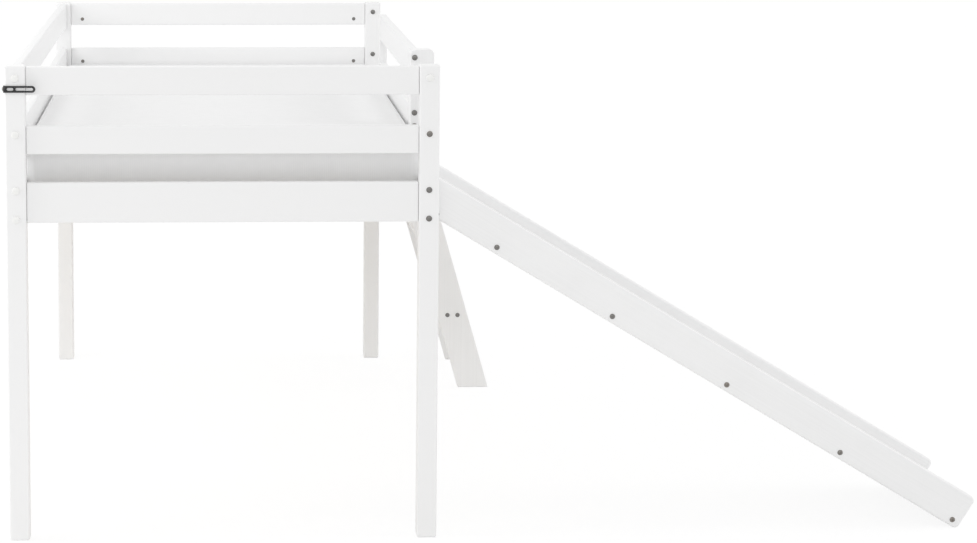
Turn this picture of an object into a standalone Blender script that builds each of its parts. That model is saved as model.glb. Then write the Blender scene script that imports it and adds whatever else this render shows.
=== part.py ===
"""Half-height bunk bed with a slide and a leaning ladder, in white painted pine.

The bed lies along Y with its near end at -Y. The slide and the ladder both stand on its +X side,
the slide at the near end and the ladder at the far end. +Z is up and the floor is at Z = 0.
The origin is on the floor, in the middle of the whole object's footprint.
All sizes are in metres.
"""
import math

import bpy
import bmesh
from mathutils import Matrix, Vector

# Mattress, and the room left round it
MATTRESS_WIDTH = 0.900
MATTRESS_LENGTH = 2.000
MATTRESS_THICK = 0.128
MATTRESS_SIDE_ROOM = 0.003
MATTRESS_END_ROOM = 0.0075
MATTRESS_CORNER_RADIUS = 0.040
MATTRESS_EDGE_RADIUS = 0.012
MATTRESS_CROWN = 0.007
MATTRESS_SIDE_PULL = 0.003
MATTRESS_CROSS_FACETS = 6
MATTRESS_LONG_FACETS = 10

# Timber sections
POST_SECTION = 0.045
RAIL_THICK = 0.020
ARRIS = 0.003
SMALL_ARRIS = 0.0015
POST_TOP_ARRIS = 0.004

# Gaps: what touches in the real bed keeps this gap, and a hole is wider than its bolt
SEAT_GAP = 0.0003
HOLE_PLAY = 0.0005
CUT_OVERRUN = 0.010

# Post height, and the rails and gaps that follow from the post's top downwards
POST_HEIGHT = 1.083
TOP_RAIL_DROP = 0.003
END_RAIL_HEIGHT = 0.064
UPPER_RAIL_GAP = 0.069
LOWER_RAIL_GAP = 0.064
BOTTOM_RAIL_HEIGHT = 0.091
SIDE_RAIL_RISE = 0.008
SIDE_RAIL_HEIGHT = 0.115
GUARD_HEIGHT = 0.070

# Bolts: the lengthwise ones, which hold the long rails, are measured down from each rail's top
# edge, and the crosswise ones, which hold the end rails and pass below them, up from the foot
UPPER_GUARD_BOLT_DROP = 0.025
LOWER_GUARD_BOLT_DROP = 0.0185
SIDE_RAIL_BOLT_MARGIN = 0.025
TOP_RAIL_BOLT_RISE = 0.0175
MIDDLE_RAIL_BOLT_RISE = 0.024
UPRIGHT_BOLT_SPACING = 0.032

# Flanged bolts and the barrel nuts that they screw into
BOLT_SHANK_RADIUS = 0.003
BOLT_FLANGE_RADIUS = 0.0068
BOLT_CROWN_RADIUS = 0.0040
BOLT_HEAD_HEIGHT = 0.0035
BOLT_FLANGE_HEIGHT = 0.0010
BLANK_BOLT_DEPTH = 0.030
NUT_RADIUS = 0.005
NUT_BELOW_FACE = 0.0010
NUT_FROM_RAIL_END = 0.034
CROSS_BOLT_SINK = 0.0045
SINK_PLAY = 0.0010
CAP_RADIUS = 0.0085
CAP_WALL = 0.0010
CAP_CROWN = 0.0012
CAP_SHOULDER_SHARE = 0.65
CAP_SHOULDER_RISE_SHARE = 0.8

# Slats and the ledgers that carry them
LEDGER_THICK = 0.020
LEDGER_HEIGHT = 0.030
LEDGER_ABOVE_RAIL_FOOT = 0.006
LEDGER_END_SETBACK = 0.040
SLAT_COUNT = 12
SLAT_WIDTH = 0.100
SLAT_THICK = 0.018
SLAT_END_ROOM = 0.002
SLAT_POST_ROOM = 0.0015

# Slide
SLIDE_ANGLE = math.radians(31.1)
SLIDE_WIDTH = 0.385
SLIDE_FROM_POST = 0.005
SLIDE_DROP = 0.092
SLIDE_SIDE_HEIGHT = 0.084
SLIDE_SIDE_THICK = 0.020
SLIDE_SIDE_ARRIS = 0.005
SLIDE_CORNER_RADIUS = 0.012
SLIDE_PANEL_THICK = 0.006
SLIDE_GROOVE_DEPTH = 0.005
SLIDE_PANEL_END_SETBACK = 0.006
SLIDE_BATTEN_COUNT = 5
SLIDE_BATTEN_WIDTH = 0.035
SLIDE_BATTEN_THICK = 0.022
SLIDE_BATTEN_RISE = 0.004
SLIDE_FIRST_BATTEN = 0.165
SLIDE_LAST_BATTEN_SETBACK = 0.022

# Ladder
LADDER_LEAN = math.radians(16.0)
LADDER_WIDTH = 0.415
LADDER_FROM_POST = 0.010
LADDER_CONTACT = 0.0815
LADDER_SIDE_WIDTH = 0.084
LADDER_SIDE_THICK = 0.020
LADDER_CORNER_RADIUS = 0.030
LADDER_FIRST_TREAD = 0.212
LADDER_TOP_STEP = 0.163
LADDER_TREAD_COUNT = 3
LADDER_TREAD_DEPTH = 0.076
LADDER_TREAD_THICK = 0.020
LADDER_SCREW_SPACING = 0.029

# Cleats that hold the slide and the ladder against the side rail
CLEAT_THICK = 0.022
CLEAT_HEIGHT = 0.022
CLEAT_BOLT_BELOW_SLATS = 0.002
CLEAT_SCREW_FROM_END = 0.060
CLEAT_SCREW_BITE = 0.014

# Uprights at the ends of the guard rails, beside the two entrances
SLIDE_UPRIGHT_DEPTH = 0.057
UPRIGHT_WIDTH = 0.045
UPRIGHT_CORNER_RADIUS = 0.012
UPRIGHT_SIDE_ROOM = 0.003
UPRIGHT_SCREW_BITE = 0.025
UPRIGHT_SCREW_TOP_MARGIN = 0.018
UPRIGHT_SCREW_SPACING = 0.030
TENON_THICK = 0.010
TENON_WIDTH = 0.030
TENON_DEPTH = 0.045

# Wood screws
SCREW_SHANK_RADIUS = 0.0025
SCREW_HEAD_RADIUS = 0.0062
SCREW_CROWN_RADIUS = 0.0040
SCREW_HEAD_HEIGHT = 0.0025
SCREW_RIM_HEIGHT = 0.0008
SCREW_BITE = 0.030

# Slotted steel wall bracket on the near left post
BRACKET_LENGTH = 0.072
BRACKET_HEIGHT = 0.015
BRACKET_THICK = 0.003
BRACKET_DROP = 0.052
BRACKET_FLANGE_LENGTH = 0.013
BRACKET_SLOT_WIDTH = 0.0065
BRACKET_SHORT_SLOT = 0.015
BRACKET_LONG_SLOT = 0.039
BRACKET_SHORT_SLOT_START = 0.008
BRACKET_LONG_SLOT_START = 0.0275
BRACKET_SCREW_FROM_CORNER = 0.0065
BRACKET_SCREW_SHANK_RADIUS = 0.002
BRACKET_SCREW_HEAD_RADIUS = 0.0050
BRACKET_SCREW_HEAD_HEIGHT = 0.0026
BRACKET_SCREW_BITE = 0.015

# Facets, and the least upward part of a face's normal that counts as flat
STEEPEST_FLAT = 0.7
TURNED_STEPS = 8
HOLE_SIDES = 8
ARC_STEPS = 5

# Frame sizes that follow from the mattress and the timber
RAIL_INSET = (POST_SECTION - RAIL_THICK) / 2
INNER_WIDTH = MATTRESS_WIDTH + 2 * MATTRESS_SIDE_ROOM
INNER_LENGTH = MATTRESS_LENGTH + 2 * MATTRESS_END_ROOM
BED_WIDTH = INNER_WIDTH + 2 * (RAIL_THICK + RAIL_INSET)
BED_LENGTH = INNER_LENGTH + 2 * (RAIL_THICK + RAIL_INSET)
POST_X = BED_WIDTH / 2 - POST_SECTION / 2
POST_Y = BED_LENGTH / 2 - POST_SECTION / 2
POST_INNER_X = BED_WIDTH / 2 - POST_SECTION
POST_INNER_Y = BED_LENGTH / 2 - POST_SECTION
RAIL_OUTER_X = POST_X + RAIL_THICK / 2
RAIL_INNER_X = POST_X - RAIL_THICK / 2

# Heights above the floor
TOP_RAIL_TOP = POST_HEIGHT - TOP_RAIL_DROP
MIDDLE_RAIL_TOP = TOP_RAIL_TOP - END_RAIL_HEIGHT - UPPER_RAIL_GAP
BOTTOM_RAIL_TOP = MIDDLE_RAIL_TOP - END_RAIL_HEIGHT - LOWER_RAIL_GAP
SIDE_RAIL_TOP = BOTTOM_RAIL_TOP + SIDE_RAIL_RISE
SIDE_RAIL_FOOT = SIDE_RAIL_TOP - SIDE_RAIL_HEIGHT
UPRIGHT_TOP = TOP_RAIL_TOP
BRACKET_MIDDLE_HEIGHT = POST_HEIGHT - BRACKET_DROP
UPPER_GUARD_BOLT_HEIGHT = TOP_RAIL_TOP - UPPER_GUARD_BOLT_DROP
LOWER_GUARD_BOLT_HEIGHT = MIDDLE_RAIL_TOP - LOWER_GUARD_BOLT_DROP
SIDE_RAIL_UPPER_BOLT_HEIGHT = SIDE_RAIL_TOP - SIDE_RAIL_BOLT_MARGIN
SIDE_RAIL_LOWER_BOLT_HEIGHT = SIDE_RAIL_FOOT + SIDE_RAIL_BOLT_MARGIN
TOP_RAIL_BOLT_HEIGHT = TOP_RAIL_TOP - END_RAIL_HEIGHT + TOP_RAIL_BOLT_RISE
MIDDLE_RAIL_BOLT_HEIGHT = MIDDLE_RAIL_TOP - END_RAIL_HEIGHT + MIDDLE_RAIL_BOLT_RISE
BOTTOM_RAIL_BOLT_HEIGHT = BOTTOM_RAIL_TOP - BOTTOM_RAIL_HEIGHT / 2

# Slats
LEDGER_FOOT = SIDE_RAIL_FOOT + LEDGER_ABOVE_RAIL_FOOT
SLAT_FOOT = LEDGER_FOOT + LEDGER_HEIGHT + SEAT_GAP
SLAT_LENGTH = INNER_WIDTH - 2 * SLAT_END_ROOM
MATTRESS_FOOT = SLAT_FOOT + SLAT_THICK + SEAT_GAP

# Slide: it hangs on the outer face of the right side rail, its line starting at the rail's face
SLIDE_FACE_X = RAIL_OUTER_X + SEAT_GAP
SLIDE_NEAR_Y = -POST_INNER_Y + SLIDE_FROM_POST
SLIDE_MIDDLE_Y = SLIDE_NEAR_Y + SLIDE_WIDTH / 2
SLIDE_FAR_Y = SLIDE_NEAR_Y + SLIDE_WIDTH
SLIDE_CLEAR_WIDTH = SLIDE_WIDTH - 2 * SLIDE_SIDE_THICK
SLIDE_FOOT_OF_TOP_END = SIDE_RAIL_TOP - SLIDE_DROP
SLIDE_FOOT_DROP = SLIDE_FOOT_OF_TOP_END - SLIDE_CORNER_RADIUS * (1 - math.cos(SLIDE_ANGLE))
SLIDE_LENGTH = SLIDE_CORNER_RADIUS + SLIDE_FOOT_DROP / math.sin(SLIDE_ANGLE)
SLIDE_REACH = (
    (SLIDE_LENGTH - SLIDE_CORNER_RADIUS) * math.cos(SLIDE_ANGLE)
    + (SLIDE_SIDE_HEIGHT - SLIDE_CORNER_RADIUS) * math.sin(SLIDE_ANGLE)
    + SLIDE_CORNER_RADIUS
)
SLIDE_PANEL_FOOT = SLIDE_BATTEN_RISE + SLIDE_BATTEN_THICK + SEAT_GAP
SLIDE_LAST_BATTEN = SLIDE_LENGTH - SLIDE_LAST_BATTEN_SETBACK

# Ladder: it leans on the same rail, just in front of the far right post
LADDER_FAR_Y = POST_INNER_Y - LADDER_FROM_POST
LADDER_NEAR_Y = LADDER_FAR_Y - LADDER_WIDTH
LADDER_SLOPE = math.tan(LADDER_LEAN)
LADDER_CONTACT_FOOT = SIDE_RAIL_TOP - LADDER_CONTACT
LADDER_HEEL_X = SLIDE_FACE_X + LADDER_CONTACT_FOOT * LADDER_SLOPE
LADDER_TOE_X = LADDER_HEEL_X + LADDER_SIDE_WIDTH / math.cos(LADDER_LEAN)
LADDER_MIDDLE_X = (LADDER_TOE_X + LADDER_HEEL_X) / 2
LADDER_TOP_TREAD = SIDE_RAIL_TOP - LADDER_TOP_STEP
LADDER_TREAD_PITCH = (LADDER_TOP_TREAD - LADDER_FIRST_TREAD) / (LADDER_TREAD_COUNT - 1)

# Uprights
SLIDE_UPRIGHT_NEAR_Y = SLIDE_FAR_Y + UPRIGHT_SIDE_ROOM
LADDER_UPRIGHT_FAR_Y = LADDER_NEAR_Y - UPRIGHT_SIDE_ROOM
RIGHT_GUARD_NEAR_Y = SLIDE_UPRIGHT_NEAR_Y + UPRIGHT_WIDTH + SEAT_GAP
RIGHT_GUARD_FAR_Y = LADDER_UPRIGHT_FAR_Y - UPRIGHT_WIDTH - SEAT_GAP
UPPER_GUARD_MIDDLE = TOP_RAIL_TOP - GUARD_HEIGHT / 2
LOWER_GUARD_MIDDLE = MIDDLE_RAIL_TOP - GUARD_HEIGHT / 2

# Cleats
CLEAT_MIDDLE_HEIGHT = LEDGER_FOOT + LEDGER_HEIGHT - CLEAT_BOLT_BELOW_SLATS - BOLT_FLANGE_RADIUS
CLEAT_MIDDLE_X = SLIDE_FACE_X + CLEAT_THICK / 2

# The object's box, which puts the origin in the middle of the footprint
HEAD_PROUD = SEAT_GAP + BOLT_HEAD_HEIGHT
BRACKET_PROUD = SEAT_GAP + BRACKET_THICK
BRACKET_SCREW_PROUD = BRACKET_PROUD + SEAT_GAP + BRACKET_SCREW_HEAD_HEIGHT
CAP_PROUD = 2 * SEAT_GAP + BOLT_HEAD_HEIGHT + CAP_WALL + CAP_CROWN
LEFT_END = -BED_WIDTH / 2 - BRACKET_SCREW_PROUD
RIGHT_END = SLIDE_FACE_X + SLIDE_REACH
NEAR_END = -BED_LENGTH / 2 - max(HEAD_PROUD, CAP_PROUD, BRACKET_PROUD)
FAR_END = BED_LENGTH / 2 + HEAD_PROUD
BED_CENTRE_X = -(LEFT_END + RIGHT_END) / 2
BED_CENTRE_Y = -(NEAR_END + FAR_END) / 2

TO_LEFT = Vector((-1, 0, 0))
TO_FAR = Vector((0, 1, 0))
TO_NEAR = Vector((0, -1, 0))
UP = Vector((0, 0, 1))


def clear_scene():
    """Empty the file, so that the script gives the same result each time."""
    for item in list(bpy.data.objects):
        bpy.data.objects.remove(item, do_unlink=True)


def new_collection(name):
    collection = bpy.data.collections.new(name)
    bpy.context.scene.collection.children.link(collection)
    return collection


def paint(name, colour, roughness, metallic=0.0):
    """One plain surface finish."""
    material = bpy.data.materials.new(name)
    material.use_nodes = True
    shader = material.node_tree.nodes["Principled BSDF"]
    shader.inputs["Base Color"].default_value = (*colour, 1.0)
    shader.inputs["Roughness"].default_value = roughness
    shader.inputs["Metallic"].default_value = metallic
    return material


WHITE_PAINT = (0.84, 0.84, 0.82)
DARK_STEEL = (0.10, 0.10, 0.11)


def finish_for(name, finish):
    """Each piece has a material of its own, from one of the bed's five finishes."""
    if finish == "paint":
        return paint("painted_pine_" + name, WHITE_PAINT, 0.42)
    if finish == "pine":
        return paint("bare_pine_" + name, (0.62, 0.45, 0.27), 0.6)
    if finish == "steel":
        return paint("dark_steel_" + name, DARK_STEEL, 0.38, 0.9)
    if finish == "black_steel":
        return paint("black_steel_" + name, (0.02, 0.02, 0.022), 0.45, 0.6)
    if finish == "plastic":
        return paint("white_plastic_" + name, (0.86, 0.86, 0.85), 0.35)
    return paint("cotton_" + name, (0.88, 0.88, 0.87), 0.85)


def add_piece(name, mesh, finish, parent, location=(0, 0, 0)):
    """Put a mesh into the bed's collection as a named piece."""
    mesh.name = name
    piece = bpy.data.objects.new(name, mesh)
    piece.location = location
    piece.parent = parent
    mesh.materials.append(finish_for(name, finish))
    bed_pieces.objects.link(piece)
    return piece


def add_holder(name, parent, location, rotation=(0, 0, 0)):
    """An empty that carries a group of pieces in its own axes."""
    holder = bpy.data.objects.new(name, None)
    holder.location = location
    holder.rotation_euler = rotation
    holder.parent = parent
    bed_pieces.objects.link(holder)
    return holder


def mesh_from(bm):
    mesh = bpy.data.meshes.new("shape")
    bmesh.ops.recalc_face_normals(bm, faces=bm.faces)
    bm.to_mesh(mesh)
    bm.free()
    return mesh


def round_edges(bm, edges, radius, segments):
    bmesh.ops.bevel(
        bm, geom=edges, offset=radius, offset_type="OFFSET", segments=segments,
        profile=0.5, affect="EDGES", clamp_overlap=True,
    )


def board_mesh(size, arris, segments=2):
    """A planed board about its own middle, with its arrises taken off."""
    bm = bmesh.new()
    bmesh.ops.create_cube(bm, size=1.0)
    bmesh.ops.scale(bm, vec=size, verts=bm.verts)
    round_edges(bm, bm.edges[:], arris, segments)
    return mesh_from(bm)


def span_mesh(low, high, arris, segments=2):
    """A board between two corners, kept at its place in its parent's axes."""
    size = [high[axis] - low[axis] for axis in range(3)]
    middle = [(high[axis] + low[axis]) / 2 for axis in range(3)]
    return board_mesh(size, arris, segments), middle


def add_board(name, low, high, parent, finish="paint", arris=ARRIS, segments=2):
    mesh, middle = span_mesh(low, high, arris, segments)
    return add_piece(name, mesh, finish, parent, middle)


def arc_points(centre, radius, start, end):
    """Points of a round corner, from one angle to another."""
    points = []
    for step in range(ARC_STEPS + 1):
        angle = start + (end - start) * step / ARC_STEPS
        points.append((centre[0] + radius * math.cos(angle), centre[1] + radius * math.sin(angle)))
    return points


def outline_mesh(points, thickness, arris):
    """A flat outline in X and Z, cut from a board of this thickness along Y, arrises taken off."""
    curve = bpy.data.curves.new("outline", "CURVE")
    curve.dimensions = "2D"
    curve.fill_mode = "BOTH"
    curve.extrude = thickness / 2
    spline = curve.splines.new("POLY")
    spline.points.add(len(points) - 1)
    for point, place in zip(spline.points, points):
        point.co = (place[0], place[1], 0, 1)
    spline.use_cyclic_u = True
    pattern = bpy.data.objects.new("outline", curve)
    bpy.context.scene.collection.objects.link(pattern)
    flat = bpy.data.meshes.new_from_object(pattern.evaluated_get(bpy.context.evaluated_depsgraph_get()))
    bpy.data.objects.remove(pattern, do_unlink=True)
    bm = bmesh.new()
    bm.from_mesh(flat)
    bpy.data.meshes.remove(flat)
    bmesh.ops.remove_doubles(bm, verts=bm.verts, dist=SEAT_GAP / 10)
    bmesh.ops.dissolve_limit(bm, angle_limit=math.radians(1), verts=bm.verts, edges=bm.edges)
    bmesh.ops.rotate(bm, cent=(0, 0, 0), matrix=Matrix.Rotation(math.pi / 2, 3, "X"), verts=bm.verts)
    rim = [edge for edge in bm.edges if edge.calc_face_angle(0) > math.radians(60)]
    round_edges(bm, rim, arris, 2)
    return mesh_from(bm)


def turned_mesh(profile, steps=TURNED_STEPS):
    """A turned piece: the profile runs from the middle of the top, down the outside, to the foot."""
    bm = bmesh.new()
    corners = [bm.verts.new((radius, 0, height)) for radius, height in profile]
    for upper, lower in zip(corners, corners[1:]):
        bm.edges.new((upper, lower))
    line = bpy.data.meshes.new("profile")
    bm.to_mesh(line)
    bm.free()
    blank = bpy.data.objects.new("profile", line)
    bpy.context.scene.collection.objects.link(blank)
    screw = blank.modifiers.new("turn", "SCREW")
    screw.axis = "Z"
    screw.steps = steps
    screw.render_steps = steps
    screw.use_merge_vertices = True
    screw.merge_threshold = SEAT_GAP / 10
    turned = bpy.data.meshes.new_from_object(blank.evaluated_get(bpy.context.evaluated_depsgraph_get()))
    bpy.data.objects.remove(blank, do_unlink=True)
    bpy.data.meshes.remove(line)
    bm = bmesh.new()
    bm.from_mesh(turned)
    bpy.data.meshes.remove(turned)
    bmesh.ops.dissolve_limit(bm, angle_limit=math.radians(1), verts=bm.verts, edges=bm.edges)
    return mesh_from(bm)


def facing(point, direction):
    """A matrix that puts +Z along a direction, at a point."""
    turn = UP.rotation_difference(direction).to_matrix().to_4x4()
    return Matrix.Translation(point) @ turn


def repeat_mesh(mesh, places):
    """Copies of one mesh at several places, as separate bodies of one mesh."""
    bm = bmesh.new()
    for place in places:
        copy = mesh.copy()
        copy.transform(place)
        bm.from_mesh(copy)
        bpy.data.meshes.remove(copy)
    return mesh_from(bm)


def add_turned(name, mesh, place, finish, parent):
    """A loose turned piece, shaded round, with its origin on its own axis."""
    mesh.shade_smooth()
    mesh.set_sharp_from_angle(angle=math.radians(35))
    piece = add_piece(name, mesh, finish, parent)
    piece.matrix_local = place
    return piece


def bar_mesh(radius, length, sides=HOLE_SIDES):
    """A round bar that starts a little above its own origin and runs down -Z."""
    bm = bmesh.new()
    depth = length + CUT_OVERRUN
    bmesh.ops.create_cone(
        bm, cap_ends=True, segments=sides, radius1=radius, radius2=radius, depth=depth,
    )
    bmesh.ops.translate(bm, vec=(0, 0, CUT_OVERRUN - depth / 2), verts=bm.verts)
    return mesh_from(bm)


def cut(piece, mesh, name, parent, operation="DIFFERENCE"):
    """Cut a piece with a mesh that stays in the file as a hidden tool."""
    tool = bpy.data.objects.new(name, mesh)
    tool.parent = parent
    tool.hide_render = True
    tool.display_type = "WIRE"
    cutters.objects.link(tool)
    boolean = piece.modifiers.new(name, "BOOLEAN")
    boolean.operation = operation
    boolean.solver = "EXACT"
    boolean.object = tool
    return tool


def drill(piece, radius, length, places, name, parent):
    """Drill round holes, each going in against the direction that its place faces."""
    cut(piece, repeat_mesh(bar_mesh(radius, length), places), name, parent)


def fasten(piece, mesh, places, name, parent):
    """Bolts or screws that are driven into a piece, and so belong to it, in dark steel."""
    group = repeat_mesh(mesh, places)
    group.shade_smooth()
    group.set_sharp_from_angle(angle=math.radians(35))
    group.materials.append(finish_for(name, "steel"))
    tool = cut(piece, group, name, parent, "UNION")
    piece.modifiers[-1].material_mode = "TRANSFER"
    return tool


def bolt_mesh(shank_length):
    return turned_mesh([
        (0, BOLT_HEAD_HEIGHT),
        (BOLT_CROWN_RADIUS, BOLT_HEAD_HEIGHT),
        (BOLT_FLANGE_RADIUS, BOLT_FLANGE_HEIGHT),
        (BOLT_FLANGE_RADIUS, 0),
        (BOLT_SHANK_RADIUS, 0),
        (BOLT_SHANK_RADIUS, -shank_length),
        (0, -shank_length),
    ])


def screw_mesh(shank_length, shank_radius=SCREW_SHANK_RADIUS, head_radius=SCREW_HEAD_RADIUS,
               crown_radius=SCREW_CROWN_RADIUS, head_height=SCREW_HEAD_HEIGHT):
    return turned_mesh([
        (0, head_height),
        (crown_radius, head_height),
        (head_radius, SCREW_RIM_HEIGHT),
        (head_radius, 0),
        (shank_radius, 0),
        (shank_radius, -shank_length),
        (0, -shank_length),
    ])


def bolt_rail_end(rail, label, end_point, direction, heights, thickness, open_direction):
    """The bolts that stand out of one end of a rail, through a post or an upright.

    The direction points out of the rail's end. Each bolt is screwed into a barrel nut, which shows
    as a round recess in the rail's open side, the side that looks into the bed.
    """
    bolts = []
    recesses = []
    for height in heights:
        start = Vector((end_point[0], end_point[1], height))
        seat = start + direction * (thickness + 2 * SEAT_GAP)
        bolts.append(facing(seat, direction))
        mouth = start - direction * NUT_FROM_RAIL_END + open_direction * (RAIL_THICK / 2)
        recesses.append(facing(mouth, open_direction))
    shank = thickness + 2 * SEAT_GAP + NUT_FROM_RAIL_END
    drill(rail, NUT_RADIUS, NUT_BELOW_FACE, recesses, label + "_nuts", bed_centre)
    fasten(rail, bolt_mesh(shank), bolts, label + "_bolts", bed_centre)


def build_posts():
    """Four square posts, drilled lengthwise for the long rails and crosswise for the end rails.

    The crosswise bolts have their heads sunk, so nothing stands out of the bed's long sides.
    """
    long_heights = [
        UPPER_GUARD_BOLT_HEIGHT, LOWER_GUARD_BOLT_HEIGHT,
        SIDE_RAIL_UPPER_BOLT_HEIGHT, SIDE_RAIL_LOWER_BOLT_HEIGHT,
    ]
    cross_heights = [TOP_RAIL_BOLT_HEIGHT, MIDDLE_RAIL_BOLT_HEIGHT, BOTTOM_RAIL_BOLT_HEIGHT]
    for end_name, end_sign in (("near", -1), ("far", 1)):
        for side_name, side_sign in (("left", -1), ("right", 1)):
            name = "post_" + end_name + "_" + side_name
            x = side_sign * POST_X
            y = end_sign * POST_Y
            mesh = board_mesh((POST_SECTION, POST_SECTION, POST_HEIGHT), POST_TOP_ARRIS)
            post = add_piece(name, mesh, "paint", bed_centre, (x, y, POST_HEIGHT / 2))
            outward = Vector((0, end_sign, 0))
            sideways = Vector((side_sign, 0, 0))
            end_face = y + end_sign * POST_SECTION / 2
            side_face = x + side_sign * POST_SECTION / 2
            long_places = [facing((x, end_face, height), outward) for height in long_heights]
            cross_places = [facing((side_face, y, height), sideways) for height in cross_heights]
            drill(post, BOLT_SHANK_RADIUS + HOLE_PLAY, POST_SECTION + CUT_OVERRUN,
                  long_places + cross_places, name + "_holes", bed_centre)
            drill(post, BOLT_FLANGE_RADIUS + SINK_PLAY, CROSS_BOLT_SINK, cross_places,
                  name + "_sinks", bed_centre)


def build_blank_bolts():
    """Short bolts that close the right posts' guard holes, where the two entrances have no rail."""
    near_face = Vector((POST_X, -BED_LENGTH / 2 - SEAT_GAP, 0))
    far_face = Vector((POST_X, POST_INNER_Y - SEAT_GAP, 0))
    for end_name, face in (("near", near_face), ("far", far_face)):
        for level, height in (
                ("upper", UPPER_GUARD_BOLT_HEIGHT), ("lower", LOWER_GUARD_BOLT_HEIGHT)):
            add_turned(
                "blank_bolt_" + end_name + "_" + level, bolt_mesh(BLANK_BOLT_DEPTH),
                facing(face + UP * height, TO_NEAR), "steel", bed_centre,
            )


def build_bolt_caps():
    """Push-on caps over the bolt heads that show on the near end."""
    capped = [
        (-POST_X, UPPER_GUARD_BOLT_HEIGHT),
        (-POST_X, LOWER_GUARD_BOLT_HEIGHT),
        (-POST_X, SIDE_RAIL_UPPER_BOLT_HEIGHT),
        (-POST_X, SIDE_RAIL_LOWER_BOLT_HEIGHT),
        (POST_X, UPPER_GUARD_BOLT_HEIGHT),
    ]
    for index, (x, height) in enumerate(capped):
        face = (x, -BED_LENGTH / 2 - SEAT_GAP, height)
        add_turned("bolt_cap_%d" % (index + 1), cap_mesh(), facing(face, TO_NEAR), "plastic",
                   bed_centre)


def build_end_rails():
    """Three rails across each end, set back between the posts."""
    rails = (
        ("top", TOP_RAIL_TOP, END_RAIL_HEIGHT, TOP_RAIL_BOLT_HEIGHT),
        ("middle", MIDDLE_RAIL_TOP, END_RAIL_HEIGHT, MIDDLE_RAIL_BOLT_HEIGHT),
        ("bottom", BOTTOM_RAIL_TOP, BOTTOM_RAIL_HEIGHT, BOTTOM_RAIL_BOLT_HEIGHT),
    )
    half = POST_INNER_X - SEAT_GAP
    for end_name, end_sign in (("near", -1), ("far", 1)):
        for rail_name, top, height, bolt_height in rails:
            name = "end_rail_" + end_name + "_" + rail_name
            y = end_sign * POST_Y
            rail = add_board(
                name,
                (-half, y - RAIL_THICK / 2, top - height),
                (half, y + RAIL_THICK / 2, top),
                bed_centre,
            )
            inward = Vector((0, -end_sign, 0))
            for side_name, side_sign in (("left", -1), ("right", 1)):
                bolt_rail_end(
                    rail, name + "_" + side_name, (side_sign * half, y),
                    Vector((side_sign, 0, 0)), [bolt_height], POST_SECTION - CROSS_BOLT_SINK, inward,
                )


def build_long_rails():
    """Side rails and full-length guard rails, between the near and the far posts."""
    half = POST_INNER_Y - SEAT_GAP
    side_bolts = [SIDE_RAIL_UPPER_BOLT_HEIGHT, SIDE_RAIL_LOWER_BOLT_HEIGHT]
    rails = [
        ("side_rail_left", -1, SIDE_RAIL_TOP, SIDE_RAIL_HEIGHT, side_bolts),
        ("side_rail_right", 1, SIDE_RAIL_TOP, SIDE_RAIL_HEIGHT, side_bolts),
        ("guard_rail_left_upper", -1, TOP_RAIL_TOP, GUARD_HEIGHT, [UPPER_GUARD_BOLT_HEIGHT]),
        ("guard_rail_left_lower", -1, MIDDLE_RAIL_TOP, GUARD_HEIGHT, [LOWER_GUARD_BOLT_HEIGHT]),
    ]
    made = {}
    for name, side_sign, top, height, bolt_heights in rails:
        x = side_sign * POST_X
        rail = add_board(
            name,
            (x - RAIL_THICK / 2, -half, top - height),
            (x + RAIL_THICK / 2, half, top),
            bed_centre,
        )
        inward = Vector((-side_sign, 0, 0))
        for end_name, end_sign in (("near", -1), ("far", 1)):
            bolt_rail_end(
                rail, name + "_" + end_name, (x, end_sign * half),
                Vector((0, end_sign, 0)), bolt_heights, POST_SECTION, inward,
            )
        made[name] = rail
    return made


def upright_bolt_heights():
    """Two bolts at each end of each short guard rail."""
    heights = []
    for middle in (UPPER_GUARD_MIDDLE, LOWER_GUARD_MIDDLE):
        heights.append([middle - UPRIGHT_BOLT_SPACING / 2, middle + UPRIGHT_BOLT_SPACING / 2])
    return heights


def build_right_guard_rails():
    """The two short guard rails between the slide's and the ladder's entrance."""
    upper_bolts, lower_bolts = upright_bolt_heights()
    for level, middle, heights in (
            ("upper", UPPER_GUARD_MIDDLE, upper_bolts), ("lower", LOWER_GUARD_MIDDLE, lower_bolts)):
        name = "guard_rail_right_" + level
        rail = add_board(
            name,
            (RAIL_INNER_X, RIGHT_GUARD_NEAR_Y, middle - GUARD_HEIGHT / 2),
            (RAIL_OUTER_X, RIGHT_GUARD_FAR_Y, middle + GUARD_HEIGHT / 2),
            bed_centre,
        )
        ends = (("near", RIGHT_GUARD_NEAR_Y, TO_NEAR), ("far", RIGHT_GUARD_FAR_Y, TO_FAR))
        for end_name, rail_end, outward in ends:
            bolt_rail_end(rail, name + "_" + end_name, (POST_X, rail_end), outward, heights,
                          UPRIGHT_WIDTH, TO_LEFT)


def drill_upright(upright, near_face_y):
    """The holes that take the guard rails' bolts, lengthwise through an upright."""
    places = []
    for heights in upright_bolt_heights():
        places += [facing((POST_X, near_face_y, height), TO_NEAR) for height in heights]
    drill(upright, BOLT_SHANK_RADIUS + HOLE_PLAY, UPRIGHT_WIDTH + CUT_OVERRUN, places,
          upright.name + "_bolt_holes", bed_centre)


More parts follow.
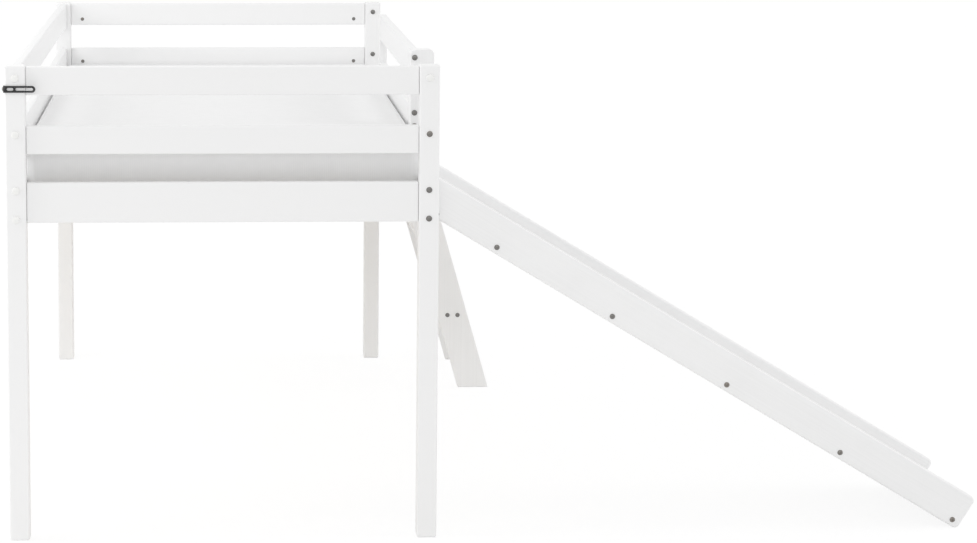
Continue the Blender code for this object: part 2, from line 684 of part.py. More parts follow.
def slide_upright_outline():
    """End view of the upright beside the slide: full width above the side rail, lapped below it."""
    inner = RAIL_INNER_X
    outer = RAIL_INNER_X + SLIDE_UPRIGHT_DEPTH
    lap = RAIL_OUTER_X + SEAT_GAP
    shoulder = SIDE_RAIL_TOP + SEAT_GAP
    radius = UPRIGHT_CORNER_RADIUS
    points = [(lap, SIDE_RAIL_FOOT), (outer - radius, SIDE_RAIL_FOOT)]
    points += arc_points((outer - radius, SIDE_RAIL_FOOT + radius), radius, -math.pi / 2, 0)[1:]
    points += arc_points((outer - radius, UPRIGHT_TOP - radius), radius, 0, math.pi / 2)
    points += arc_points((inner + radius, UPRIGHT_TOP - radius), radius, math.pi / 2, math.pi)
    points += [(inner, shoulder), (lap, shoulder)]
    return points


def build_slide_upright(side_rail):
    """The thick upright beside the slide, screwed to the side rail from inside the bed."""
    mesh = outline_mesh(slide_upright_outline(), UPRIGHT_WIDTH, ARRIS / 2)
    middle_y = SLIDE_UPRIGHT_NEAR_Y + UPRIGHT_WIDTH / 2
    upright = add_piece("guard_upright_by_slide", mesh, "paint", bed_centre, (0, middle_y, 0))
    drill_upright(upright, SLIDE_UPRIGHT_NEAR_Y)
    screws = []
    for row in range(2):
        height = SIDE_RAIL_TOP - UPRIGHT_SCREW_TOP_MARGIN - row * UPRIGHT_SCREW_SPACING
        screws.append(facing((RAIL_INNER_X - SEAT_GAP, middle_y, height), TO_LEFT))
    drill(side_rail, SCREW_SHANK_RADIUS + HOLE_PLAY, RAIL_THICK + CUT_OVERRUN, screws,
          "lap_screw_holes", bed_centre)
    shank = RAIL_THICK + 2 * SEAT_GAP + UPRIGHT_SCREW_BITE
    fasten(upright, screw_mesh(shank), screws, "lap_screws", bed_centre)


def build_ladder_upright(side_rail):
    """The flush upright beside the ladder, tenoned into the top edge of the side rail."""
    middle_y = LADDER_UPRIGHT_FAR_Y - UPRIGHT_WIDTH / 2
    foot = SIDE_RAIL_TOP + SEAT_GAP
    radius = UPRIGHT_CORNER_RADIUS
    right = UPRIGHT_WIDTH / 2 - radius
    points = [(-UPRIGHT_WIDTH / 2, foot), (UPRIGHT_WIDTH / 2, foot)]
    points += arc_points((right, UPRIGHT_TOP - radius), radius, 0, math.pi / 2)
    points += arc_points((-right, UPRIGHT_TOP - radius), radius, math.pi / 2, math.pi)
    mesh = outline_mesh(points, RAIL_THICK, SMALL_ARRIS)
    mesh.transform(Matrix.Rotation(math.pi / 2, 4, "Z"))
    upright = add_piece("guard_upright_by_ladder", mesh, "paint", bed_centre, (POST_X, middle_y, 0))
    tenon_height = TENON_DEPTH + CUT_OVERRUN
    tenon = board_mesh((TENON_THICK, TENON_WIDTH, tenon_height), SMALL_ARRIS, 1)
    middle_z = foot - TENON_DEPTH + tenon_height / 2
    tenon.transform(Matrix.Translation((POST_X, middle_y, middle_z)))
    cut(upright, tenon, "upright_tenon", bed_centre, "UNION")
    drill_upright(upright, LADDER_UPRIGHT_FAR_Y - UPRIGHT_WIDTH)
    mortise = bmesh.new()
    bmesh.ops.create_cube(mortise, size=1.0)
    size = (TENON_THICK + 2 * SEAT_GAP, TENON_WIDTH + 2 * SEAT_GAP,
            TENON_DEPTH + SEAT_GAP + CUT_OVERRUN)
    bmesh.ops.scale(mortise, vec=size, verts=mortise.verts)
    middle_z = SIDE_RAIL_TOP - TENON_DEPTH - SEAT_GAP + size[2] / 2
    bmesh.ops.translate(mortise, vec=(POST_X, middle_y, middle_z), verts=mortise.verts)
    cut(side_rail, mesh_from(mortise), "side_rail_mortise", bed_centre)


def build_slats():
    """Ledgers along the side rails, and the slats that lie across them."""
    half = POST_INNER_Y - LEDGER_END_SETBACK
    for side_name, side_sign in (("left", -1), ("right", 1)):
        outer = side_sign * (RAIL_INNER_X - SEAT_GAP)
        inner = side_sign * (RAIL_INNER_X - SEAT_GAP - LEDGER_THICK)
        add_board(
            "slat_ledger_" + side_name,
            (min(outer, inner), -half, LEDGER_FOOT),
            (max(outer, inner), half, LEDGER_FOOT + LEDGER_HEIGHT),
            bed_centre, "pine", SMALL_ARRIS, 1,
        )
    first = -POST_INNER_Y + SLAT_POST_ROOM + SLAT_WIDTH / 2
    pitch = -2 * first / (SLAT_COUNT - 1)
    for index in range(SLAT_COUNT):
        y = first + index * pitch
        add_board(
            "slat_%02d" % (index + 1),
            (-SLAT_LENGTH / 2, y - SLAT_WIDTH / 2, SLAT_FOOT),
            (SLAT_LENGTH / 2, y + SLAT_WIDTH / 2, SLAT_FOOT + SLAT_THICK),
            bed_centre, "pine", SMALL_ARRIS, 1,
        )


def build_mattress():
    """A soft block: crowned on top, drawn in along its sides, flat where it lies on the slats."""
    half_width = MATTRESS_WIDTH / 2
    half_length = MATTRESS_LENGTH / 2
    bm = bmesh.new()
    bmesh.ops.create_cube(bm, size=1.0)
    bmesh.ops.scale(bm, vec=(MATTRESS_WIDTH, MATTRESS_LENGTH, MATTRESS_THICK), verts=bm.verts)
    bmesh.ops.translate(bm, vec=(0, 0, MATTRESS_THICK / 2), verts=bm.verts)
    upright_edges = [edge for edge in bm.edges if edge.verts[0].co.z != edge.verts[1].co.z]
    round_edges(bm, upright_edges, MATTRESS_CORNER_RADIUS, 4)
    for axis, half, count in (
            (0, half_width, MATTRESS_CROSS_FACETS), (1, half_length, MATTRESS_LONG_FACETS)):
        for step in range(1, count):
            place = -half + 2 * half * step / count
            normal = [0, 0, 0]
            normal[axis] = 1
            point = [0, 0, 0]
            point[axis] = place
            bmesh.ops.bisect_plane(
                bm, geom=bm.verts[:] + bm.edges[:] + bm.faces[:], plane_co=point, plane_no=normal,
            )
    for vert in bm.verts:
        across = 1 - (vert.co.x / half_width) ** 2
        along = 1 - (vert.co.y / half_length) ** 2
        if vert.co.z > MATTRESS_THICK / 2:
            vert.co.z += MATTRESS_CROWN * math.sqrt(max(across * along, 0))
        vert.co.x *= 1 - MATTRESS_SIDE_PULL / half_width * max(along, 0)
        vert.co.y *= 1 - MATTRESS_SIDE_PULL / half_length * max(across, 0)
    rim = []
    bm.normal_update()
    for edge in bm.edges:
        flat_sides = [abs(face.normal.z) > STEEPEST_FLAT for face in edge.link_faces]
        if len(flat_sides) == 2 and flat_sides[0] != flat_sides[1]:
            rim.append(edge)
    round_edges(bm, rim, MATTRESS_EDGE_RADIUS, 3)
    mesh = mesh_from(bm)
    mesh.shade_smooth()
    add_piece("mattress", mesh, "cotton", bed_centre, (0, 0, MATTRESS_FOOT))


def slide_side_outline():
    """Side view of a slide board, along the slope: the top end is cut plumb, the foot is round."""
    radius = SLIDE_CORNER_RADIUS
    height = SLIDE_SIDE_HEIGHT
    points = [(0, 0)]
    points += arc_points((SLIDE_LENGTH - radius, radius), radius, -math.pi / 2, 0)
    points += arc_points((SLIDE_LENGTH - radius, height - radius), radius, 0, math.pi / 2)
    points += [(-height * math.tan(SLIDE_ANGLE), height)]
    return points


def build_slide():
    """Two boards with the sliding panel let into them, on battens, behind a cleat on the rail."""
    slide_line = add_holder(
        "slide_line", bed_centre, (SLIDE_FACE_X, 0, SLIDE_FOOT_OF_TOP_END), (0, SLIDE_ANGLE, 0))
    inner_near = SLIDE_NEAR_Y + SLIDE_SIDE_THICK
    inner_far = SLIDE_FAR_Y - SLIDE_SIDE_THICK
    panel_top = SLIDE_PANEL_FOOT + SLIDE_PANEL_THICK
    plumb = math.tan(SLIDE_ANGLE)
    panel_end = SLIDE_LENGTH - SLIDE_PANEL_END_SETBACK
    panel_radius = SLIDE_PANEL_THICK / 2
    panel_outline = [(-SLIDE_PANEL_FOOT * plumb, SLIDE_PANEL_FOOT)]
    panel_outline += arc_points(
        (panel_end - panel_radius, SLIDE_PANEL_FOOT + panel_radius), panel_radius,
        -math.pi / 2, math.pi / 2)
    panel_outline += [(-panel_top * plumb, panel_top)]
    panel_width = SLIDE_CLEAR_WIDTH + 2 * (SLIDE_GROOVE_DEPTH - SEAT_GAP)
    panel_mesh = outline_mesh(panel_outline, panel_width, SEAT_GAP)
    add_piece("slide_panel", panel_mesh, "paint", slide_line, (0, SLIDE_MIDDLE_Y, 0))

    pitch = (SLIDE_LAST_BATTEN - SLIDE_FIRST_BATTEN) / (SLIDE_BATTEN_COUNT - 1)
    batten_middle = SLIDE_BATTEN_RISE + SLIDE_BATTEN_THICK / 2
    shank = SLIDE_SIDE_THICK + 2 * SEAT_GAP + SCREW_BITE
    near_screws = []
    far_screws = []
    for index in range(SLIDE_BATTEN_COUNT):
        along = SLIDE_FIRST_BATTEN + index * pitch
        batten = add_board(
            "slide_batten_%d" % (index + 1),
            (along - SLIDE_BATTEN_WIDTH / 2, inner_near + SEAT_GAP, SLIDE_BATTEN_RISE),
            (along + SLIDE_BATTEN_WIDTH / 2, inner_far - SEAT_GAP,
             SLIDE_BATTEN_RISE + SLIDE_BATTEN_THICK),
            slide_line, "paint", SMALL_ARRIS, 1,
        )
        near_screws.append(facing((along, SLIDE_NEAR_Y - SEAT_GAP, batten_middle), TO_NEAR))
        far_screws.append(facing((along, SLIDE_FAR_Y + SEAT_GAP, batten_middle), TO_FAR))
        fasten(batten, screw_mesh(shank), [near_screws[-1], far_screws[-1]],
               batten.name + "_screws", slide_line)

    add_cleat("slide_top_cleat", SLIDE_NEAR_Y, SLIDE_FAR_Y, SLIDE_SIDE_THICK)
    sides = (
        ("near", SLIDE_NEAR_Y + SLIDE_SIDE_THICK / 2, 1, near_screws),
        ("far", SLIDE_FAR_Y - SLIDE_SIDE_THICK / 2, -1, far_screws),
    )
    for side_name, middle_y, groove_sign, screws in sides:
        mesh = outline_mesh(slide_side_outline(), SLIDE_SIDE_THICK, SLIDE_SIDE_ARRIS)
        side = add_piece("slide_side_" + side_name, mesh, "paint", slide_line, (0, middle_y, 0))
        drill(side, SCREW_SHANK_RADIUS + HOLE_PLAY, SLIDE_SIDE_THICK + CUT_OVERRUN, screws,
              side.name + "_screw_holes", slide_line)
        drill_for_cleat(side, middle_y, SLIDE_SIDE_THICK)
        groove = bmesh.new()
        bmesh.ops.create_cube(groove, size=1.0)
        start = -(panel_top + SEAT_GAP) * plumb - CUT_OVERRUN
        size = (panel_end + SEAT_GAP - start, SLIDE_GROOVE_DEPTH + CUT_OVERRUN,
                SLIDE_PANEL_THICK + 2 * SEAT_GAP)
        bmesh.ops.scale(groove, vec=size, verts=groove.verts)
        groove_y = middle_y + groove_sign * (SLIDE_SIDE_THICK / 2 - SLIDE_GROOVE_DEPTH + size[1] / 2)
        centre = (start + size[0] / 2, groove_y, SLIDE_PANEL_FOOT + SLIDE_PANEL_THICK / 2)
        bmesh.ops.translate(groove, vec=centre, verts=groove.verts)
        cut(side, mesh_from(groove), side.name + "_groove", slide_line)


def add_cleat(name, near_y, far_y, side_thick):
    """A short bar between two side boards, flat against the side rail's outer face.

    A screw through each side board goes into its end, and two bolts go into its back from inside
    the bed, through the ledger and the side rail.
    """
    cleat = add_board(
        name,
        (SLIDE_FACE_X, near_y + side_thick + SEAT_GAP, CLEAT_MIDDLE_HEIGHT - CLEAT_HEIGHT / 2),
        (SLIDE_FACE_X + CLEAT_THICK, far_y - side_thick - SEAT_GAP,
         CLEAT_MIDDLE_HEIGHT + CLEAT_HEIGHT / 2),
        bed_centre, "paint", SMALL_ARRIS, 1,
    )
    screws = [
        facing((CLEAT_MIDDLE_X, near_y - SEAT_GAP, CLEAT_MIDDLE_HEIGHT), TO_NEAR),
        facing((CLEAT_MIDDLE_X, far_y + SEAT_GAP, CLEAT_MIDDLE_HEIGHT), TO_FAR),
    ]
    screw_shank = side_thick + 2 * SEAT_GAP + SCREW_BITE
    fasten(cleat, screw_mesh(screw_shank), screws, name + "_screws", bed_centre)
    ledger_face_x = RAIL_INNER_X - SEAT_GAP - LEDGER_THICK
    bolts = []
    for y in (near_y + side_thick + CLEAT_SCREW_FROM_END, far_y - side_thick - CLEAT_SCREW_FROM_END):
        bolts.append(facing((ledger_face_x - SEAT_GAP, y, CLEAT_MIDDLE_HEIGHT), TO_LEFT))
    bolt_shank = LEDGER_THICK + RAIL_THICK + 3 * SEAT_GAP + CLEAT_SCREW_BITE
    fasten(cleat, bolt_mesh(bolt_shank), bolts, name + "_bolts", bed_centre)
    for piece_name in ("side_rail_right", "slat_ledger_right"):
        piece = bpy.data.objects[piece_name]
        drill(piece, BOLT_SHANK_RADIUS + HOLE_PLAY, LEDGER_THICK + RAIL_THICK + CUT_OVERRUN, bolts,
              piece_name + "_" + name + "_holes", bed_centre)
    return cleat


def drill_for_cleat(side, middle_y, side_thick):
    """The hole in a side board for the screw that goes into its cleat's end."""
    place = facing((CLEAT_MIDDLE_X, middle_y - side_thick / 2, CLEAT_MIDDLE_HEIGHT), TO_NEAR)
    drill(side, SCREW_SHANK_RADIUS + HOLE_PLAY, side_thick + CUT_OVERRUN, [place],
          side.name + "_cleat_hole", bed_centre)


def ladder_side_outline():
    """Side view of a ladder board: flat foot on the floor, plumb cut against the side rail."""
    face = SLIDE_FACE_X
    top = SIDE_RAIL_TOP
    radius = LADDER_CORNER_RADIUS
    centre_z = top - radius
    centre_x = LADDER_TOE_X - centre_z * LADDER_SLOPE - radius / math.cos(LADDER_LEAN)
    points = [(LADDER_HEEL_X, 0), (LADDER_TOE_X, 0)]
    points += arc_points((centre_x, centre_z), radius, LADDER_LEAN, math.pi / 2)
    points += [(face, top), (face, LADDER_CONTACT_FOOT)]
    return points


def build_ladder():
    """Two leaning boards with level treads between them, and a cleat against the side rail."""
    inner_near = LADDER_NEAR_Y + LADDER_SIDE_THICK
    inner_far = LADDER_FAR_Y - LADDER_SIDE_THICK
    shank = LADDER_SIDE_THICK + 2 * SEAT_GAP + SCREW_BITE
    faces = (("near", LADDER_NEAR_Y - SEAT_GAP, TO_NEAR), ("far", LADDER_FAR_Y + SEAT_GAP, TO_FAR))
    places = {"near": [], "far": []}
    for index in range(LADDER_TREAD_COUNT):
        height = LADDER_FIRST_TREAD + index * LADDER_TREAD_PITCH
        x = LADDER_MIDDLE_X - height * LADDER_SLOPE
        tread = add_board(
            "ladder_tread_%d" % (index + 1),
            (x - LADDER_TREAD_DEPTH / 2, inner_near + SEAT_GAP, height - LADDER_TREAD_THICK / 2),
            (x + LADDER_TREAD_DEPTH / 2, inner_far - SEAT_GAP, height + LADDER_TREAD_THICK / 2),
            bed_centre,
        )
        tread_screws = []
        for side_name, face_y, looking in faces:
            for sign in (-1, 1):
                place = facing((x + sign * LADDER_SCREW_SPACING / 2, face_y, height), looking)
                tread_screws.append(place)
                places[side_name].append(place)
        fasten(tread, screw_mesh(shank), tread_screws, tread.name + "_screws", bed_centre)
    add_cleat("ladder_top_cleat", LADDER_NEAR_Y, LADDER_FAR_Y, LADDER_SIDE_THICK)
    for side_name, middle_y in (
            ("near", LADDER_NEAR_Y + LADDER_SIDE_THICK / 2),
            ("far", LADDER_FAR_Y - LADDER_SIDE_THICK / 2)):
        mesh = outline_mesh(ladder_side_outline(), LADDER_SIDE_THICK, ARRIS)
        side = add_piece("ladder_side_" + side_name, mesh, "paint", bed_centre, (0, middle_y, 0))
        drill(side, SCREW_SHANK_RADIUS + HOLE_PLAY, LADDER_SIDE_THICK + CUT_OVERRUN,
              places[side_name], side.name + "_screw_holes", bed_centre)
        drill_for_cleat(side, middle_y, LADDER_SIDE_THICK)


def slot_mesh(start, length):
    """A round-ended slot through the bracket's front leg."""
    radius = BRACKET_SLOT_WIDTH / 2
    points = arc_points((length - radius, 0), radius, -math.pi / 2, math.pi / 2)
    points += arc_points((radius, 0), radius, math.pi / 2, 3 * math.pi / 2)
    mesh = outline_mesh(points, BRACKET_THICK + 2 * CUT_OVERRUN, 0)
    mesh.transform(Matrix.Translation((start, 0, 0)))
    return mesh


def build_wall_bracket():
    """A slotted steel angle on the near left post: round-ended, its short leg on the post's side."""
    post = bpy.data.objects["post_near_left"]
    left = -BED_WIDTH / 2 - BRACKET_PROUD
    front = -BED_LENGTH / 2 - SEAT_GAP
    holder = add_holder("bracket_corner", bed_centre, (left, front - BRACKET_THICK / 2,
                                                       BRACKET_MIDDLE_HEIGHT))
    corner = BRACKET_THICK / 2
    half = BRACKET_HEIGHT / 2
    bm = bmesh.new()
    fold = [bm.verts.new((corner, 0, height)) for height in (half, -half)]
    flange = [bm.verts.new((corner, BRACKET_FLANGE_LENGTH, height)) for height in (-half, half)]
    bm.faces.new(fold + flange)
    round_end = [bm.verts.new((x, 0, z)) for x, z in
                 arc_points((BRACKET_LENGTH - half, 0), half, -math.pi / 2, math.pi / 2)]
    bm.faces.new(fold + round_end)
    strip = mesh_from(bm)
    bracket = add_piece("wall_bracket", strip, "black_steel", holder)
    wall = bracket.modifiers.new("sheet", "SOLIDIFY")
    wall.thickness = BRACKET_THICK
    wall.offset = 0
    wall.use_even_offset = True
    for start, length, label in (
            (BRACKET_SHORT_SLOT_START, BRACKET_SHORT_SLOT, "short_slot"),
            (BRACKET_LONG_SLOT_START, BRACKET_LONG_SLOT, "long_slot")):
        cut(bracket, slot_mesh(start, length), label, holder)
    seat = (left - SEAT_GAP, -BED_LENGTH / 2 + BRACKET_SCREW_FROM_CORNER, BRACKET_MIDDLE_HEIGHT)
    place = facing(seat, TO_LEFT)
    depth = BRACKET_PROUD + SEAT_GAP + BRACKET_SCREW_BITE
    for piece in (bracket, post):
        drill(piece, BRACKET_SCREW_SHANK_RADIUS + HOLE_PLAY, depth + SEAT_GAP, [place],
              piece.name + "_screw_hole", bed_centre)
    screw = screw_mesh(depth, BRACKET_SCREW_SHANK_RADIUS, BRACKET_SCREW_HEAD_RADIUS,
                       BRACKET_SCREW_SHANK_RADIUS, BRACKET_SCREW_HEAD_HEIGHT)
    add_turned("wall_bracket_screw", screw, place, "steel", bed_centre)


def cap_mesh():
    """A hollow cap over a bolt's head."""
    inner = BOLT_FLANGE_RADIUS + SEAT_GAP
    ceiling = BOLT_HEAD_HEIGHT + SEAT_GAP
    return turned_mesh([
        (0, ceiling + CAP_WALL + CAP_CROWN),
        (CAP_RADIUS * CAP_SHOULDER_SHARE, ceiling + CAP_WALL + CAP_CROWN * CAP_SHOULDER_RISE_SHARE),
        (CAP_RADIUS, ceiling),
        (CAP_RADIUS, 0),
        (inner, 0),
        (inner, ceiling),
        (0, ceiling),
    ])


def build_bed():
    build_posts()
    build_end_rails()
    long_rails = build_long_rails()
    build_right_guard_rails()
    build_slide_upright(long_rails["side_rail_right"])
    build_ladder_upright(long_rails["side_rail_right"])
    build_slats()
    build_mattress()
    build_slide()
    build_ladder()
    build_blank_bolts()
    build_bolt_caps()
    build_wall_bracket()


clear_scene()
bed_pieces = new_collection("bunk_bed_with_slide")
cutters = new_collection("cutters")
bed_centre = add_holder("bed_centre", None, (BED_CENTRE_X, BED_CENTRE_Y, 0))
build_bed()
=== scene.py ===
import math

import bmesh
import bpy
import numpy as np
from bpy.props import FloatProperty, FloatVectorProperty, IntProperty, PointerProperty
from mathutils import Matrix, Vector
from mathutils.bvhtree import BVHTree


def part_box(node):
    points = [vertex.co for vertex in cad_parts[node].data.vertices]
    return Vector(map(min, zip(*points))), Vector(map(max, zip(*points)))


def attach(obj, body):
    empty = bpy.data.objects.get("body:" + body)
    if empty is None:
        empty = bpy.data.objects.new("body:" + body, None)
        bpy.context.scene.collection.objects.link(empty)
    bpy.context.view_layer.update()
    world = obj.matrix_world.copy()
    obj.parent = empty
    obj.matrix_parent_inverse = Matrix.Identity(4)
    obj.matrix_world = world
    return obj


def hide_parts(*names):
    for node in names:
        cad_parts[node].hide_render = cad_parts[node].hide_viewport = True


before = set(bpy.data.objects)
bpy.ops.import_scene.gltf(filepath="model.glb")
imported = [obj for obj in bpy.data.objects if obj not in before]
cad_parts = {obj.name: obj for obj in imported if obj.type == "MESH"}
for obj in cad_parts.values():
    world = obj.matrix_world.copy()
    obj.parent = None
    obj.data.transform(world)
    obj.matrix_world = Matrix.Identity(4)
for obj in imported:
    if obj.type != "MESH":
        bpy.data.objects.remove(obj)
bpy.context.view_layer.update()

bl_info = {
    "name": "Painted Bed with Slide",
    "version": (1, 0, 0),
    "blender": (4, 5, 0),
    "location": "3D View > Sidebar > Bed",
    "description": "Builds the boards, fastenings, mattress and studio of a half-height bed",
    "category": "Object",
}

GAP = 0.0003  # the play between neighbours
BORE_START = 0.002  # how far above a face a bore's cutter starts
NUT_BED = 0.002  # how much deeper than its recess a barrel nut's bore goes
BOLT_SHANK, BLANK_SHANK, SCREW_SHANK, BRACKET_SHANK = 0.012, 0.029, 0.015, 0.012
CAP_ROOM, CAP_DOME = 0.0025, 0.0016  # from a bolt's head to its cap's top, and the dome's rise
STITCH_THICK = 0.0006
SEAM_STEP = 0.012  # spacing of the points along a seam
CLOTH_FRAMES = 20
X, Y, Z = range(3)
RIGHT, LEFT = Vector((1, 0, 0)), Vector((-1, 0, 0))
AWAY, TOWARDS = Vector((0, 1, 0)), Vector((0, -1, 0))
WHITE = (1, 1, 1, 1)

PAINTED, PLANED, ZINC = "satin_painted_pine", "planed_pine", "zinc_plated_steel"
LACQUERED, MOULDED, COTTON = "black_lacquered_steel", "moulded_polyethylene", "woven_cotton"
# Boards whose stretch of grain was chosen one by one
GRAIN_SEEDS = {
    "guard_upright_by_slide": 11, "guard_upright_by_ladder": 23, "slide_panel": 31,
    "slats": 5, "slide_battens": 3, "ladder_treads": 7,
}

END_RAILS = ["end_rail_%s_%s" % (end, level) for end in ("near", "far")
             for level in ("top", "middle", "bottom")]
LEFT_GUARDS = ["guard_rail_left_upper", "guard_rail_left_lower"]
LONG_RAILS = ["side_rail_left", "side_rail_right", *LEFT_GUARDS]
SHORT_GUARDS = ["guard_rail_right_upper", "guard_rail_right_lower"]
TREADS = ["ladder_tread_%d" % number for number in (1, 2, 3)]


def srgb(code):
    """Linear colour, with alpha, of a six-digit sRGB hex code."""
    channels = [int(code[start:start + 2], 16) / 255 for start in (0, 2, 4)]
    linear = [c / 12.92 if c <= 0.04045 else ((c + 0.055) / 1.055) ** 2.4 for c in channels]
    return (*linear, 1.0)


def number(label, words, value, least=0.0, most=100.0, **kind):
    return FloatProperty(name=label, description=words, default=value, min=least, max=most, **kind)


def length(label, words, metres, most=3.0):
    return number(label, words, metres, most=most, unit="LENGTH", subtype="DISTANCE")


def angle(label, words, degrees, least=-90.0, most=90.0):
    return number(label, words, math.radians(degrees), math.radians(least), math.radians(most),
                  unit="ROTATION", subtype="ANGLE")


def spot(label, words, place):
    return FloatVectorProperty(name=label, description=words, default=place,
                               unit="LENGTH", subtype="TRANSLATION")


def heading(label, words, towards):
    return FloatVectorProperty(name=label, description=words, default=towards,
                               subtype="DIRECTION")


def stretch_of(label, words, start, span):
    return FloatVectorProperty(name=label, description=words, size=2, default=(start, span),
                               unit="LENGTH")


def colour(label, words, code):
    return FloatVectorProperty(name=label, description=words, default=srgb(code), size=4,
                               min=0.0, max=1.0, subtype="COLOR")


class BedBoardSizes(bpy.types.PropertyGroup):
    """Sizes of the painted boards that the frame's boxes don't give."""

    arris: length("Arris", "Rounding of the boards' edges", 0.0030)
    post_arris: length("Post arris", "Rounding of the posts' edges", 0.0040)
    slide_arris: length("Slide arris", "Rounding of the slide boards' edges", 0.0050)
    upright_corner: length("Upright corner", "Radius of the uprights' top corners", 0.0120)
    slide_angle: angle("Slide angle", "Slope of the slide", 31.1, 6.0, 69.0)
    slide_drop: length("Slide drop", "From the side rail's top to the slide boards' foot", 0.0920)
    slide_height: length("Slide height", "Height of a slide board across the slope", 0.0840)
    slide_corner: length("Slide corner", "Radius of the slide boards' foot corners", 0.0120)
    panel_rise: length("Panel rise", "From the lower edge to the panel's underside", 0.0263)
    panel_thick: length("Panel thickness", "Thickness of the sliding panel", 0.0060)
    panel_setback: length("Panel setback", "From the panel's end to the boards' end", 0.0060)
    batten_count: IntProperty(name="Battens", description="Battens under the panel",
                              default=5, min=2)
    batten_width: length("Batten width", "Width of a batten along the slope", 0.0350)
    batten_thick: length("Batten thickness", "Thickness of a batten", 0.0220)
    batten_rise: length("Batten rise", "From the lower edge to the battens' underside", 0.0040)
    first_batten: length("First batten", "From the rail to the first batten's middle", 0.1650)
    last_batten: length("Last batten", "From the last batten's middle to the boards' end", 0.0220)
    ladder_lean: angle("Ladder lean", "Lean of the ladder", 16.0, 3.0, 57.0)
    ladder_width: length("Ladder board width", "Width of a ladder board", 0.0840)
    ladder_contact: length("Ladder contact", "Height of the cut against the side rail", 0.0815)
    ladder_corner: length("Ladder corner", "Radius of a ladder board's top corner", 0.0300)


class BedFasteningSizes(bpy.types.PropertyGroup):
    """Sizes and places of the bolts, screws, nuts and caps."""

    bolt_flange: length("Bolt flange", "Radius of a bolt's flange", 0.0068)
    bolt_crown: length("Bolt crown", "Radius of a bolt's flat crown", 0.0040)
    bolt_head: length("Bolt head", "Height of a bolt's head", 0.0035)
    bolt_socket: length("Bolt socket", "Width of the hexagon socket across its flats", 0.0040)
    bolt_shank: length("Bolt shank", "Radius of a bolt's shank", 0.0030)
    screw_head: length("Screw head", "Radius of a screw's head", 0.0062)
    screw_height: length("Screw height", "Height of a screw's head", 0.0025)
    screw_cross: length("Screw cross", "Width of the cross recess, tip to tip", 0.0060)
    nut_radius: length("Nut radius", "Radius of a barrel nut", 0.0050)
    nut_recess: length("Nut recess", "How far a barrel nut lies below the rail's face", 0.0010)
    nut_setback: length("Nut setback", "From a rail's end to its barrel nut", 0.0340)
    cap_radius: length("Cap radius", "Radius of a bolt cap", 0.0085)
    upper_guard_drop: length("Upper guard bolt", "Below the upper guard rail's top", 0.0250)
    lower_guard_drop: length("Lower guard bolt", "Below the lower guard rail's top", 0.0185)
    side_rail_margin: length("Side rail bolts", "From the side rail's edges", 0.0250)
    top_rail_rise: length("Top rail bolt", "Above the top end rail's foot", 0.0175)
    middle_rail_rise: length("Middle rail bolt", "Above the middle end rail's foot", 0.0240)
    upright_spacing: length("Upright bolts", "Between the two bolts of a guard rail", 0.0320)
    tread_spacing: length("Tread screws", "Between the two screws of a tread", 0.0290)
    cross_sink: length("Sink", "How deep the heads of the end rails' bolts are sunk", 0.0045)
    sink_play: length("Sink play", "Between a sunk bolt's flange and its counterbore", 0.0010)
    lap_margin: length("Lap screw", "Upper lap screw below the side rail's top edge", 0.0180)
    lap_spacing: length("Lap screws", "Between the upright's two lap screws", 0.0300)
    cleat_bolt: length("Cleat bolt", "From a side board's inner face to a cleat's bolt", 0.0600)
    plate_thick: length("Plate thickness", "Thickness of the wall bracket's steel", 0.0030)
    plate_screw: length("Plate screw", "From the post's front to the bracket's screw", 0.0065)
    plate_screw_head: length("Plate screw head", "Radius of the bracket's screw head", 0.0050)
    slot_width: length("Slot width", "Width of the bracket's slots", 0.0065)
    short_slot: stretch_of("Short slot", "Start and length of the short slot", 0.0080, 0.0150)
    long_slot: stretch_of("Long slot", "Start and length of the long slot", 0.0275, 0.0390)


class BedMattressSettings(bpy.types.PropertyGroup):
    """How the mattress is filled and sewn."""

    ease: length("Ease", "How far the cover stands out from the solid mattress", 0.0025)
    voxel: length("Voxel", "Mesh size for the cloth", 0.0140)
    most_swell: length("Most swell", "How far the fullest point swells outwards", 0.0015)
    near_room: length("Near room", "How far the near end stays back from the solid's", 0.0320)
    pressure: number("Pressure", "Pressure inside the cover", 4.0, most=50.0)
    corner: length("Corner", "Radius of the mattress's corners, seen from above", 0.0400)
    edge: length("Edge", "Radius of the mattress's long edges", 0.0120)
    welt: length("Welt", "Radius of the sewn welt along the edges", 0.0018)
    stitch_spacing: length("Stitch spacing", "Distance between the welt's stitches", 0.0090)
    stitch: length("Stitch", "Length of a stitch", 0.0055)


class BedFinishes(bpy.types.PropertyGroup):
    """Colours of the bed's finishes."""

    paint: colour("Paint", "White satin paint on the boards", "F4F4F4")
    thin_paint: colour("Thin paint", "The paint where the grain shows through", "EFEFEF")
    pine: colour("Pine", "Bare planed pine", "E8DCC6")
    pine_late: colour("Late wood", "The darker rings of bare pine", "D3BC98")
    steel: colour("Steel", "Dark zinc-plated steel", "7F7E7C")
    brassy: colour("Brassy zinc", "The warmest of the zinc-plated fastenings", "8C847C")
    black: colour("Black", "Black lacquered steel", "17181A")
    plastic: colour("Plastic", "White polyethylene caps", "F4F4F2")
    cotton: colour("Cotton", "The mattress's cover", "F0F0F0")


